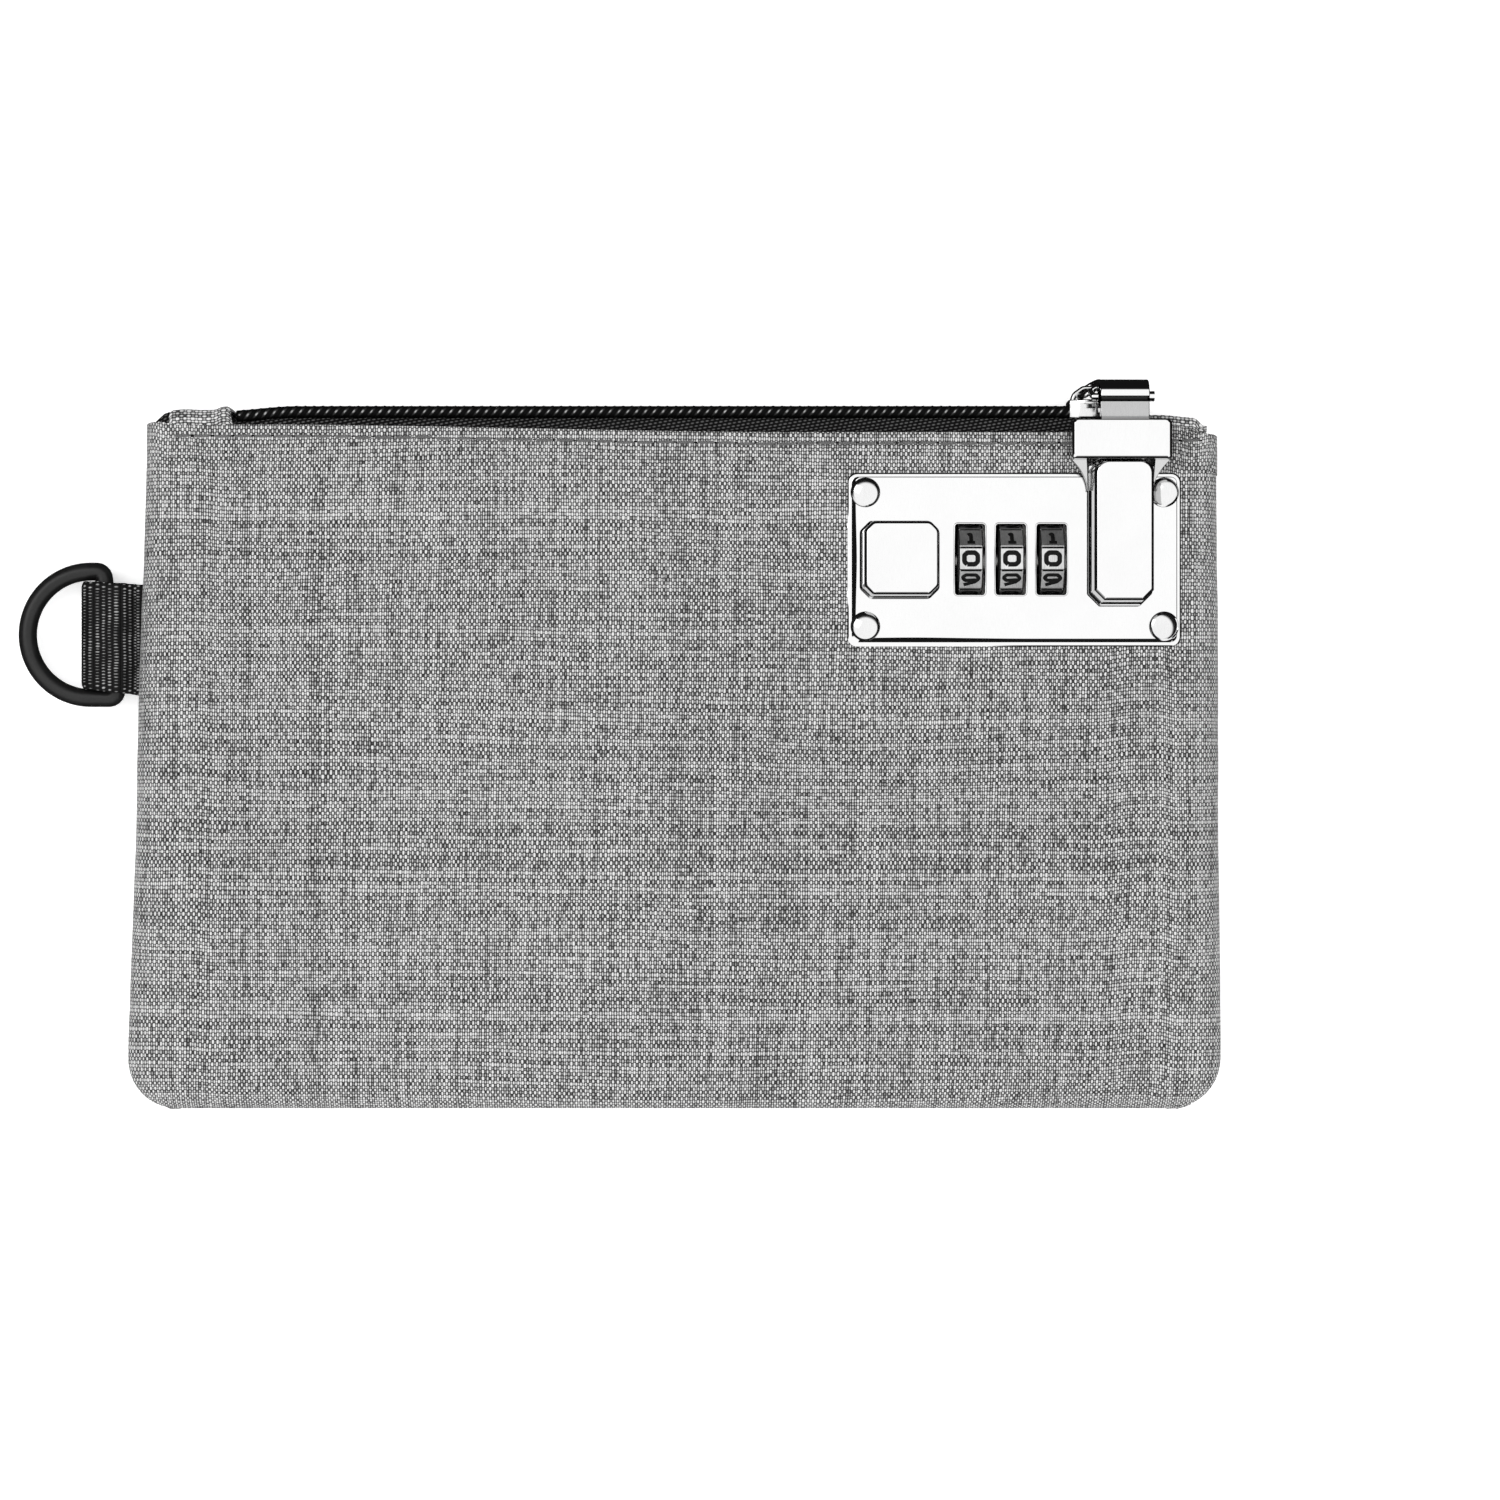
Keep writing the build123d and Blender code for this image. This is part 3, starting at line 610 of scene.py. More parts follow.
# ---------------- bag panels
def sides(y):
    """Left and right edge of the bag at a height, drawn in at the rounded bottom corners."""
    up = np.clip((y - BOTTOM) / (TOP - BOTTOM), 0, 1.1)
    below = np.clip(CORNER_R - (y - BOTTOM), 0, CORNER_R)
    drawn_in = CORNER_R - np.sqrt(CORNER_R ** 2 - below ** 2)
    sag = 0.25 * waves(y, 0 * y, 60, 5)
    left = -HALF_W + (TOP_LEFT + HALF_W) * up + drawn_in + sag
    right = HALF_W + (TOP_RIGHT - HALF_W) * up - drawn_in + 0.2 * waves(y, 0 * y, 70, 9)
    return left, right


def mouth_edge(x):
    """Height of the front panel's folded edge: it dips towards the slider, with dropped ends."""
    line = MOUTH_Y - 1.5 * smooth((x + 85) / 110) + 1.2 * smooth((x - 86) / 8)
    return line + 0.6 * smooth((-94 - x) / 4.5) - 1.4 * smooth((x - 98.5) / 3.5)


def back_edge(x):
    """Height of the back panel's folded edge, which stays hidden behind the front one."""
    return BACK_MOUTH_Y - 1.4 * smooth((-93 - x) / 4) - 3.8 * smooth((x - 95) / 6)


def edge_profile(steps=10):
    """(inset, height share) from the turned-in seam up the roll; shares under 0 are the crease."""
    lip = [(0.9, -1.0), (0.45, -0.93), (0.12, -0.6)]
    angles = np.linspace(0, math.pi / 2, steps)
    return lip + [(ROLL * (1 - math.cos(a)), math.sin(a)) for a in angles]


def panel_grid(front, cols, rows):
    """Points of a panel as (rows, cols, 3), outer surface, from bottom seam to hem."""
    rim = edge_profile()
    s = np.linspace(0, 1, cols)[1:-1]
    column = [(0, d, f) for d, f in rim] + [(t, ROLL, 1.0) for t in s]
    column += [(1, ROLL, 1.0)] + [(1, d, f) for d, f in reversed(rim[:-1])]
    t = np.linspace(0, 1, rows)[1:]
    row = [(0, d, f) for d, f in rim] + [(k, ROLL, 1.0) for k in t]
    c_t, c_d, c_f = np.array(column).T
    r_t, r_d, r_f = np.array(row).T
    x_rough = -HALF_W + 2 * HALF_W * np.where(c_t > 0, c_t, 0)
    edge = (mouth_edge(x_rough) if front else back_edge(x_rough)) - FOLD_R
    y = BOTTOM + r_d[:, None] + (edge[None, :] - BOTTOM - ROLL) * r_t[:, None]
    left, right = sides(y)
    width = roll_width(y)
    inner_left, inner_right = left + width, right - width
    c_d = c_d * width / ROLL
    x = np.where(c_t <= 0, left + c_d,
                 np.where(c_t >= 1, right - c_d, inner_left + (inner_right - inner_left) * c_t))
    share = np.where((c_f[None, :] < 0) | (r_f[:, None] < 0),
                     np.minimum(c_f[None, :], r_f[:, None]), c_f[None, :] * r_f[:, None])
    return x, y, share


def stitch_row(x):
    """Height of the row of topstitching below the mouth."""
    return mouth_edge(np.clip(x, -94, 98)) - STITCH_DROP - 0.7 * smooth((x - 86) / 8)


def front_level(x, y):
    """Height of the middle of the front panel, away from its seams."""
    from_bottom = y - BOTTOM
    level = FRONT_Z - 0.8 * smooth((20 - x) / 113)
    level = level - 4.2 * (1 - smooth((from_bottom + 6) / 54))
    level = level - 0.95 * smooth((y - 53) / 9)
    level = level - 0.22 * np.exp(-((y - stitch_row(x)) / 0.45) ** 2)
    loose = 1 - smooth(1 - (np.abs(x - LOCK[0]) - PLATE_W / 2) / 25) * smooth(
        1 - (np.abs(y - LOCK[1]) - PLATE_H / 2) / 25)
    level = level + loose * (0.40 * waves(x, y, 75, 3) + 0.10 * waves(x, y, 22, 4) - 0.25)
    under = (np.abs(x - LOCK[0]) < PLATE_W / 2 - 0.6) & (np.abs(y - LOCK[1]) < PLATE_H / 2 - 0.6)
    return np.where(under, FRONT_Z - 0.12, level)


def roll_width(y):
    """The sides roll down over less width near the open mouth."""
    return ROLL - 4.0 * smooth((y - 48) / 12)


def roll(inset, width):
    """Share of the full height at an inset from a seam."""
    return np.sqrt(1 - (1 - np.clip(inset / width, 0, 1)) ** 2)


def puckers(x, y, left, right):
    """Small gathers along the side and bottom seams."""
    from_side = np.minimum(x - left, right - x)
    from_bottom = y - BOTTOM
    near = np.exp(-np.clip(from_side, 0, 99) / 4.0) * waves(y, 0 * y, 9, 21)
    low = np.exp(-np.clip(from_bottom, 0, 99) / 4.5) * waves(x, 0 * x, 10, 22)
    return 0.32 * (near + low)


def front_surface(x, y, share=None):
    """Height of the front panel's outer face."""
    left, right = sides(y)
    if share is None:
        share = roll(np.minimum(x - left, right - x), roll_width(y)) * roll(y - BOTTOM, ROLL)
    crease = SEAM_Z + CREASE
    up = crease + share * (front_level(x, y) - crease)
    turned = crease + share * (crease - SEAM_Z - 0.05)
    gathers = puckers(x, y, left, right) * smooth(share * 4) * smooth((60 - y) / 10)
    return np.where(share >= 0, up, turned) + gathers


def cloth_coordinates(points):
    """Distances along the rows and columns of a grid from its middle, which follow the threads."""
    rows, cols = points.shape[:2]
    across = np.linalg.norm(np.diff(points, axis=1), axis=2)
    along = np.linalg.norm(np.diff(points, axis=0), axis=2)
    u = np.concatenate([np.zeros((rows, 1)), np.cumsum(across, 1)], 1)
    v = np.concatenate([np.zeros((1, cols)), np.cumsum(along, 0)], 0)
    u -= u[:, cols // 2][:, None]
    v -= v[rows // 2][None, :]
    return np.stack([u, v, np.zeros_like(u)], 2).reshape(-1, 3)


def hem(points, inward, reach=7.0):
    """Adds the fold at the mouth and the turned-in hem. inward is -1 if the inside is below."""
    last, rows = points[-1], []
    for angle in np.linspace(0, math.pi, 7)[1:]:
        row = last.copy()
        row[:, 1] += FOLD_R * math.sin(angle)
        row[:, 2] += inward * FOLD_R * (1 - math.cos(angle))
        rows.append(row)
    for back in np.linspace(0, reach, 6)[1:]:
        row = last.copy()
        row[:, 1] -= back
        row[:, 2] += inward * 2 * FOLD_R
        rows.append(row)
    return np.concatenate([points, np.array(rows)])


def panel_faces(points, keep):
    """Quads of a grid of points whose centres pass keep(x, y)."""
    rows, cols = points.shape[:2]
    flat = points.reshape(-1, 3)
    kept = []
    for face in grid(rows, cols):
        centre = flat[list(face)].mean(0)
        if keep(centre[0], centre[1]):
            kept.append(face)
    return kept


def outside_case(x, y):
    """True where the front panel isn't cut away for the lock case."""
    gap = 0.3
    in_x = CASE_LOW[0] - gap < x < CASE_HIGH[0] + gap
    in_y = CASE_LOW[1] - gap < y < CASE_HIGH[1] + gap
    return not (in_x and in_y)


def front_panel():
    """Front panel, from the bottom seam to the hem folded in at the mouth."""
    x, y, share = panel_grid(True, 236, 152)
    points = hem(np.stack([x, y, front_surface(x, y, share)], 2), -1)
    made = piece("front_panel_cloth", (points.reshape(-1, 3), panel_faces(points, outside_case)),
                 "bag", FABRIC_LOOK, ["front_panel"], sharp=0,
                 cloth=cloth_coordinates(points))
    thicken(made, FABRIC)


def back_surface(x, y, share):
    """Height of the back panel's outer face: flat on the table, lifting towards its edges."""
    left, right = sides(y)
    crease = SEAM_Z - CREASE
    level = 0.05 + 1.9 * smooth((y - 52) / 13) ** 1.5
    down = crease + share * (level - crease)
    turned = crease + share * (crease - SEAM_Z + 0.05)
    gathers = puckers(x, y, left, right) * smooth(share * 4) * smooth((1 - share) * 5)
    return np.maximum(np.where(share >= 0, down, turned) - gathers, 0.02)


def back_panel():
    """Back panel, which lies on the table."""
    x, y, share = panel_grid(False, 180, 120)
    points = hem(np.stack([x, y, back_surface(x, y, share)], 2), 1)
    made = piece("back_panel_cloth", sheet_shape(points, flip=True), "bag", FABRIC_LOOK,
                 ["back_panel"], sharp=0, cloth=cloth_coordinates(points))
    thicken(made, FABRIC)


def topstitch(name, surface, row_y, x0, x1, up):
    """Row of lockstitches along the mouth; each dips into the fabric at both ends. A dark flattened patch
    over each needle hole is painted shade.
    `up` is 1 on the front panel and -1 on the back one."""
    length, gap, thread, hole = 3.4, 0.35, 0.27, 0.24
    rng = np.random.default_rng(17)
    parts, hole_shades = [], []
    x = x0
    while x + length < x1:
        t = np.linspace(0, 1, 11)
        px = x + t * length
        sway = rng.uniform(-0.12, 0.12) + 0.10 * np.sin(t * math.pi) * rng.uniform(-1, 1)
        py = row_y(px) + sway + 0.10 * (t - 0.5)
        to_end = np.abs(2 * t - 1)
        pz = surface(px, py) + up * (0.16 - 0.62 * to_end ** 5)
        parts.append(tube(np.column_stack([px, py, pz]), thread * (1 - 0.3 * to_end ** 3), 10))
        # Dark patch over the needle hole between stitches: painted shade.
        hx = px[-1] + gap / 2 + np.array([-0.3, 0.3])
        hy = row_y(hx) - 0.05
        line = np.column_stack([hx, hy, surface(hx, hy) + up * 0.02])
        hole_shades.append(tube(line, hole, 8, flat=((0, 0, 1), 0.4)))
        x += length + gap
    piece(f"{name}_holes", join(hole_shades), "bag", TAPE_LOOK, sharp=0)
    piece(name, join(parts), "bag", THREAD_LOOK, sharp=0)


def tuck(points, under):
    """Keeps the part of a strip that is below the mouth inside the panels."""
    x, y, z = points[:, :, 0], points[:, :, 1], points[:, :, 2]
    inside = smooth((mouth_edge(x) + 0.3 - y) / 0.8)
    roof = front_surface(x, np.minimum(y, mouth_edge(x) - FOLD_R)) - under
    points[:, :, 2] = z + inside * (np.minimum(z, roof) - z)


def end_tab(name, node, left_end, right_end, front_z, top_of, slant=0.0):
    """Strip of fabric folded over one end of the zipper, its top edge at top_of(x)."""
    cols, steps = 40, 60
    hidden_y, top_y = 56.5, 64.0        # lowest edge inside the bag, and where the slant starts
    rows = []
    for x in np.linspace(left_end, right_end, cols):
        top = top_of(x)
        outline = [(hidden_y, 10.7), (hidden_y + 4.0, 10.9), (62.4, front_z), (top, front_z - 0.1),
                   (top, 2.6), (62.0, 2.7), (hidden_y, 2.5)]
        path, _ = bent(outline, [0, 1, 1, 1.5, 1.5, 1, 0], 6, 0.45)
        at = np.linspace(0, 1, steps)
        even = np.stack([np.interp(at, np.linspace(0, 1, len(path)), part) for part in path.T], 1)
        lean = slant * smooth((x - right_end + 2) / 2) * (top_y - even[:, 0])
        rows.append(np.column_stack([x + lean, even]))
    points = np.array(rows)
    points[:, :, 2] += 0.10 * waves(points[:, :, 0], points[:, :, 1], 5, 31)
    tuck(points, 0.95)
    made = piece(name, sheet_shape(points), "bag", FABRIC_LOOK, [node], sharp=0,
                 cloth=cloth_coordinates(points) + (33.3, 7.1, 0))
    thicken(made, 0.32)


# ---------------- zipper
def bow(x):
    """The zipper's ends dip into their tabs."""
    return -0.9 * (1 - smooth((x + 84) / 14)) - 1.7 * smooth((x - 82) / 9)


def tape_end(x):
    """The cut left end of the tape stands up beside its tab; its black end fills the dark wedge between the
    tab and the panel's corner, as painted shade there.
    """
    return 2.0 * smooth((-89 - x) / 3) - 2.5 * np.clip((-93.9 - x) / 2.8, 0, 1)


def zipper_tape(name, node, outline, radii, x0, x1, skew):
    """Woven tape with a curved section, from under the coil into the bag.
    Returns the piece with its length and its width in metres."""
    path, _ = bent(outline, radii, 8, 0.35)
    rows = []
    for x in np.linspace(x0, x1, 260):
        row = lay(path, 0, x)
        # Raised black tape end standing in for the shaded wedge beside the left tab: painted shade.
        row[:, 1] += (bow(x) + tape_end(x)) * smooth((path[:, 0] - 58) / 5)
        row[:, 0] += skew * (path[:, 0] - 61)
        rows.append(row)
    points = np.array(rows)
    points[:, :, 2] += 0.10 * waves(points[:, :, 0], points[:, :, 1] * 2, 25, 41) * smooth(
        (63 - points[:, :, 1]) / 2)
    tuck(points, 1.0)
    made = piece(name, sheet_shape(points), "bag", TAPE_LOOK, [node], sharp=0,
                 cloth=cloth_coordinates(points)[:, [1, 0, 2]])
    thicken(made, 0.45, 0.0)
    return made, (x1 - x0) * MM, float(np.linalg.norm(np.diff(path, axis=0), axis=1).sum()) * MM


def zipper_coil(name, node, z_sign, phase):
    """One half of the coil: a wire wound in flattened turns that lean across the front."""
    wire, pitch, per_turn = 0.42, 1.65, 28
    low, high = corners(node)
    middle, reach = (low + high) / 2, (high - low) / 2 - wire
    turns = (high[0] - low[0] - 2) / pitch
    a = np.linspace(0, 2 * math.pi * turns, int(turns * per_turn))
    turn = a + phase
    x = low[0] + 1 + pitch * (a + 1.5 * z_sign * np.sin(turn)) / (2 * math.pi)
    y = middle[1] + reach[1] * np.sin(turn) + bow(x)
    squared = np.sign(np.cos(turn)) * np.abs(np.cos(turn)) ** 0.6
    z = middle[2] + z_sign * (reach[2] + COIL_SWELL) * squared
    shape = tube(np.column_stack([x, y, z]), wire, 10)
    piece(name, shape, "bag", COIL_LOOK, [node], sharp=0)


def coil_cord(name, node):
    """Filler cord inside one half of the coil, sewn down with it."""
    low, high = corners(node)
    middle = (low + high) / 2
    x = np.linspace(low[0] + 0.5, high[0] - 0.5, 200)
    line = lay(np.column_stack([x, middle[1] + bow(x)]), 2, middle[2])
    piece(name, tube(line, 1.13, 20), "bag", TAPE_LOOK, sharp=0)


def zipper_stops():
    """Moulded stops at both ends of the coil."""
    low, high = corners("zipper_stops")
    parts = []
    for x0, x1 in ((low[0], low[0] + 2.2), (high[0] - 1.6, high[0])):
        y = 63.6 + bow((x0 + x1) / 2)
        parts.append(prism(rounded(rectangle(x0, y, x1, y + 1.2), 0.3, arc=3), 5.2, 9.8))
    piece("zipper_stop_pair", join(parts), "bag", COIL_LOOK, ["zipper_stops"])


# ---------------- slider, eye and puller
def slider():
    """Cast slider: two shield-shaped wings, side lips and a post."""
    low, high = corners("slider_body")
    x0, x1, top = low[0], high[0], high[1]
    mid = (low[2] + high[2]) / 2
    half = (high[2] - low[2]) / 2

    def wing(inset):
        wide, x_in, x_out = half - inset, x0 + inset, x1 - inset
        ends = [(x_in, half * 0.72 - inset), (x0 + 3.0, wide), (x1 - 1.6, wide), (x_out, half * 0.35)]
        shape = [(x, mid - z) for x, z in ends] + [(x, mid + z) for x, z in reversed(ends)]
        return rounded(shape, 0.6, arc=4)

    def plate(y0, y1, soft):
        """Wing between two heights, as XZ loops stacked along Y."""
        levels = [(soft, y0), (soft * 0.3, y0 + soft * 0.3), (0, y0 + soft),
                  (0, y1 - soft), (soft * 0.3, y1 - soft * 0.3), (soft, y1)]
        return stack([lay(wing(inset), 1, y) for inset, y in levels])

    parts = [plate(top - 0.95, top, 0.28), plate(low[1], low[1] + 0.8, 0.2)]
    lip = 63.15                         # lower edge of the side lips
    for sign in (-1, 1):
        rows = []
        for x in np.linspace(x0 + 0.3, x1 - 0.4, 24):
            curl = 0.62 * (1 - smooth((x - x0) / 2.6)) + 0.3 * smooth((x - x1 + 1.6) / 1.4)
            outer, inner = half - 0.02 - curl, half - 0.85
            section = [(lip, inner), (lip + 0.05, outer - 0.3), (lip + 0.35, outer - 0.08),
                       (lip + 0.65, outer), (lip + 1.95, outer), (lip + 2.25, outer - 0.1),
                       (top - 0.4, outer - 0.25), (top - 0.4, inner)]
            rows.append(np.array([(x, y, mid + sign * z) for y, z in section]))
        parts.append(stack(rows if sign > 0 else [row[::-1] for row in rows]))
    post = rounded(rectangle(x1 - 2.5, mid - 0.15, x1 - 0.8, mid + 0.15), 0.1, arc=2)
    parts.append(prism(post, low[1] + 0.4, top - 0.4, axis=1))
    made = piece("slider_cast", join(parts), "slider", SLIDER_LOOK, ["slider_body"])
    crisp(outward(made))


def bail():
    """Arched wire over the slider that the eye hangs on."""
    low, high = corners("slider_bail")
    wire = (high[2] - low[2]) / 2
    z, top, foot = (low[2] + high[2]) / 2, high[1] - wire, low[1]
    x0, x1 = low[0] + wire, high[0] - wire
    outline = [(x0 + 0.1, foot), (x0 + 0.5, foot + 1.2), (x0 + 2.2, top), (x1 - 1.6, top),
               (x1 - 0.2, foot + 1.3), (x1, foot)]
    path, _ = bent(outline, [0, 1.2, 1.2, 1.2, 1.2, 0], 8, 0.25)
    shape = tube(lay(path, 2, z), wire, 14)
    piece("slider_bail_wire", shape, "slider", SLIDER_LOOK, ["slider_bail"], sharp=0)


PULL_LOW, PULL_HIGH = corners("puller_head")
TONGUE_LOW, TONGUE_HIGH = corners("puller_tongue")
PULL_X = (PULL_LOW[0] + PULL_HIGH[0]) / 2
BARREL_R = 3.1
BARREL_X = (79.0, 88.0)
PIN_Y, PIN_Z = PULL_HIGH[1] - BARREL_R, 15.2
HEAD_TOP_Y = 62.1
TONGUE_HALF = 5.7
TONGUE_Y = (28.5, 54.55)
TONGUE_Z = 15.6
CUT_SHRINK = 0.586                      # a 45-degree corner gets this much shorter per inset


def barrel_profile():
    """Side view of the neck strap and the barrel it rolls into; the strip's end stays clear of the neck."""
    gauge, neck = 1.15, PIN_Z + BARREL_R - 0.4

    def arc(radius, start, end, count):
        angles = np.radians(np.linspace(start, end, count))
        return [(PIN_Y + radius * math.cos(a), PIN_Z + radius * math.sin(a)) for a in angles]

    y = HEAD_TOP_Y
    top = [(y - 0.6, neck + 0.75), (y + 0.1, neck + 0.55), (y + 0.7, neck + 0.30), (y + 1.4, neck + 0.11),
           (y + 2.3, neck + 0.02), (PIN_Y - 1.24, neck), (PIN_Y - 1.16, neck - 0.08)]
    inside = arc(BARREL_R - gauge, 127, 455, 44)
    outside = arc(BARREL_R - 0.08, 95, 95, 1) + arc(BARREL_R, 93.5, -205, 66)
    return np.array(top + inside + outside + [(y - 0.6, neck - gauge)])


def head():
    """Wide head with softened edges, the neck strap and the barrel rolled round the pin."""
    half = (PULL_HIGH[0] - PULL_LOW[0]) / 2
    y0, y1 = PULL_LOW[1], HEAD_TOP_Y
    z0, z1 = 15.0, PULL_HIGH[2]

    def outline(inset):
        w, c, front, back = half - inset, 0.5, y0 + inset, y1 - 0.35 * inset
        shape = [(-w, front), (w, front), (w, back - c), (w - c, back), (-w + c, back), (-w, back - c)]
        return rounded(shape, [0.5, 0.5, 0.25, 0.25, 0.25, 0.25], arc=5)

    levels = [(0.4, z0), (0.1, z0 + 0.1), (0, z0 + 0.4), (0, z1 - 0.48), (0.05, z1 - 0.40),
              (0.45, z1 - 0.08), (0.55, z1 - 0.03), (0.9, z1)]
    block = slab(outline, levels, (PULL_X, 0), lean=(-0.15, 0.1))
    profile = barrel_profile()
    x0, x1 = BARREL_X
    ends = [(x0, 0.14), (x0 + 0.06, 0.05), (x0 + 0.18, 0), (x1 - 0.18, 0), (x1 - 0.06, 0.05), (x1, 0.14)]
    barrel = stack([lay(shrink(profile, inset), 0, x) for x, inset in ends])
    made = piece("puller_head_cast", join([block, barrel]), "puller", BRIGHT,
                 ["puller_head"])
    crisp(outward(made))
    # The neck strap's upward faces take the darker neck chrome: painted shade.
    made.data.materials.append(NECK_SHADE_LOOK)
    for face in made.data.polygons:
        middle = face.center / MM
        on_neck = HEAD_TOP_Y + 0.6 < middle.y < PIN_Y - 1.2 and face.normal.z > 0.7
        face.material_index = int(on_neck)


def shrink(loop, inset):
    """Closed 2-D loop moved inwards by a small distance."""
    if inset == 0:
        return loop
    before, after = np.roll(loop, 1, 0), np.roll(loop, -1, 0)
    tangent = after - before
    tangent /= np.maximum(np.linalg.norm(tangent, axis=1), 1e-9)[:, None]
    normal = np.column_stack([-tangent[:, 1], tangent[:, 0]])
    x, y = loop.T
    area = 0.5 * np.sum(x * np.roll(y, -1) - np.roll(x, -1) * y)
    return loop + normal * inset * (1 if area > 0 else -1)


def pin_core():
    """Filled middle of the barrel, where the pin runs, in near-black metal that is painted shade inside the
    barrel.
    """
    profile = np.array([PIN_Y, PIN_Z]) + 1.9 * circle(32)
    core = prism(profile, BARREL_X[0] + 0.25, BARREL_X[1] - 0.25, axis=0)
    crisp(outward(piece("barrel_core", core, "puller", CORE_SHADE_LOOK)))


def tongue():
    """Raised tongue with cut corners at its end, and the thin flange under it."""
    half, (y0, y1) = TONGUE_HALF, TONGUE_Y
    z0, z1 = TONGUE_Z, TONGUE_HIGH[2]
    c = 2.0

    def outline(inset):
        shape = notched(half - inset, y0 + inset, y1 - 0.6 * inset, max(c - CUT_SHRINK * inset, 0.4))
        return rounded(shape, [0.35, 0.35, 0.35, 0.35, 1.9, 2.2], arc=6)

    def flange(inset):
        shape = notched(half + 0.15 - inset, y0 - 0.40 + inset, 54.0, c + 0.2 - CUT_SHRINK * inset)
        return rounded(shape, [0.3, 0.3, 0.3, 0.3, 0.2, 0.2], arc=4)

    levels = [(-0.2, z0 + 0.3), (-0.2, z0 + 0.55), (0.10, z0 + 0.80), (0.14, z0 + 1.0), (0.22, z1 - 0.50),
              (0.26, z1 - 0.43), (0.70, z1 - 0.09), (0.80, z1 - 0.03), (1.2, z1)]
    raised = slab(outline, levels, (PULL_X, 0), lean=(0.35, 0.3))
    foot = slab(flange, [(0.12, z0), (0, z0 + 0.12), (0, z0 + 0.42), (0.1, z0 + 0.56), (0.3, z0 + 0.62)],
                (PULL_X, 0))
    return raised, foot


def wings():
    """Curved gussets that flare from the flange up to the head's lower edge, clear of the tongue."""
    half, z0 = TONGUE_HALF + 0.3, TONGUE_Z
    wide, steps = 9.05, 14
    y_low, y_high = 49.4, PULL_LOW[1] + 0.05
    parts = []
    for sign in (-1, 1):
        rows = []
        for t in np.linspace(0, 1, steps):
            y = y_low + (y_high - y_low) * t
            reach = half + 0.15 + (wide - half - 0.15) * t ** 2.0
            crest = z0 + 0.75 + 1.1 * t
            inner = half + 0.08 * (reach - half)
            section = [(half - 0.25, z0), (reach - 0.1, z0), (reach, z0 + 0.2), (reach, crest - 0.25),
                       (reach - 0.12, crest), (inner + 0.12, crest + 0.06), (inner, crest - 0.08),
                       (half - 0.1, z0 + 0.3)]
            rows.append(np.array([(PULL_X + sign * a, y, z) for a, z in section]))
        parts.append(stack([row if sign < 0 else row[::-1] for row in rows]))
    return join(parts)


def hook():
    """Hook under the tongue with the notch that the lock bar enters."""
    x0, x1, y0, y1 = 84.0, 87.0, 34.6, 38.4
    low, barb, top = TONGUE_LOW[2], 11.9, TONGUE_Z + 0.2
    outline = [(x0 + 0.9, top), (x0 + 0.9, barb + 0.1), (x0, barb), (x0 + 0.35, low), (x1 - 0.4, low),
               (x1, low + 0.5), (x1, top)]
    profile = rounded(outline, [0, 0.15, 0.15, 0.2, 0.2, 0.3, 0], arc=3)
    return prism(profile, y0, y1, axis=1)


def puller_tongue():
    """Tongue, flange and hook in one cast piece, and the wings beside them in a rougher copy of the chrome
    whose darker colour is painted shade.
    """
    made = piece("puller_tongue_cast", join([*tongue(), hook()]), "puller", BRIGHT,
                 ["puller_tongue"], sharp=28)
    crisp(outward(made))
    crisp(outward(piece("puller_wings", wings(), "puller", WING_SHADE_LOOK, sharp=28)))


# ---------------- lock
PLATE_RIM = 0.72                        # flat rim round the raised field of the face plate
BUTTON_SLOT = (39.5, LOCK[1] - 3.7, 47.1, LOCK[1] + 3.7)
HOOK_SLOT = (79.0, 33.7, 87.6, 39.3)


def plate_outline(inset):
    """Rounded outline of the face plate; the step up to its field is wider at the left and below."""
    w, h, r = PLATE_W / 2 - inset, PLATE_H / 2 - inset, max(1.7 - 0.5 * inset, 0.9)
    step = float(smooth((inset - PLATE_RIM) / 0.4))
    grow = 0.42 * step
    shape = rectangle(-w + 0.12 * step, -h + 0.12 * step, w + grow, h + grow)
    loop = rounded(shape, r, arc=6, side=16)
    loop[:, 0] += 0.42 * step * left_swell(*loop.T)
    loop[:, 1] += 0.34 * step * low_swell(*loop.T)
    return loop


def left_swell(x, y):
    """Where the step is at its widest on the left side, from the plate's middle."""
    return smooth(-PLATE_W / 2 + 2.0 - x) * np.exp(-(y / 7.0) ** 2)


def low_swell(x, y):
    """The same along the bottom."""
    return smooth(-PLATE_H / 2 + 2.0 - y) * np.exp(-((x + 19.0) / 10.0) ** 2)


def cut(made, tools):
    """Cuts closed shapes out of a piece, for good."""
    for index, (points, faces) in enumerate(tools):
        mesh = bpy.data.meshes.new(f"cutter_{index}")
        mesh.from_pydata((np.asarray(points) * MM).tolist(), [], faces)
        cutter = bpy.data.objects.new(f"cutter_{index}", mesh)
        scene.collection.objects.link(cutter)
        modifier = made.modifiers.new("cut", "BOOLEAN")
        modifier.operation, modifier.solver, modifier.object = "DIFFERENCE", "EXACT", cutter
    bpy.context.view_layer.update()
    result = bpy.data.meshes.new_from_object(made.evaluated_get(bpy.context.evaluated_depsgraph_get()))
    for modifier in list(made.modifiers):
        bpy.data.objects.remove(modifier.object)
        made.modifiers.remove(modifier)
    made.data = result


def dial_places():
    """X of the middle of each dial."""
    return [float(sum(corners(f"dial_{n}"))[0] / 2) for n in (1, 2, 3)]


def window(x, grow=0.0):
    """Outline of one dial window."""
    w, h, y = 2.8 + grow, 6.6 + grow, LOCK[1]
    return rounded(rectangle(x - w, y - h, x + w, y + h), 0.55 + grow, arc=5)


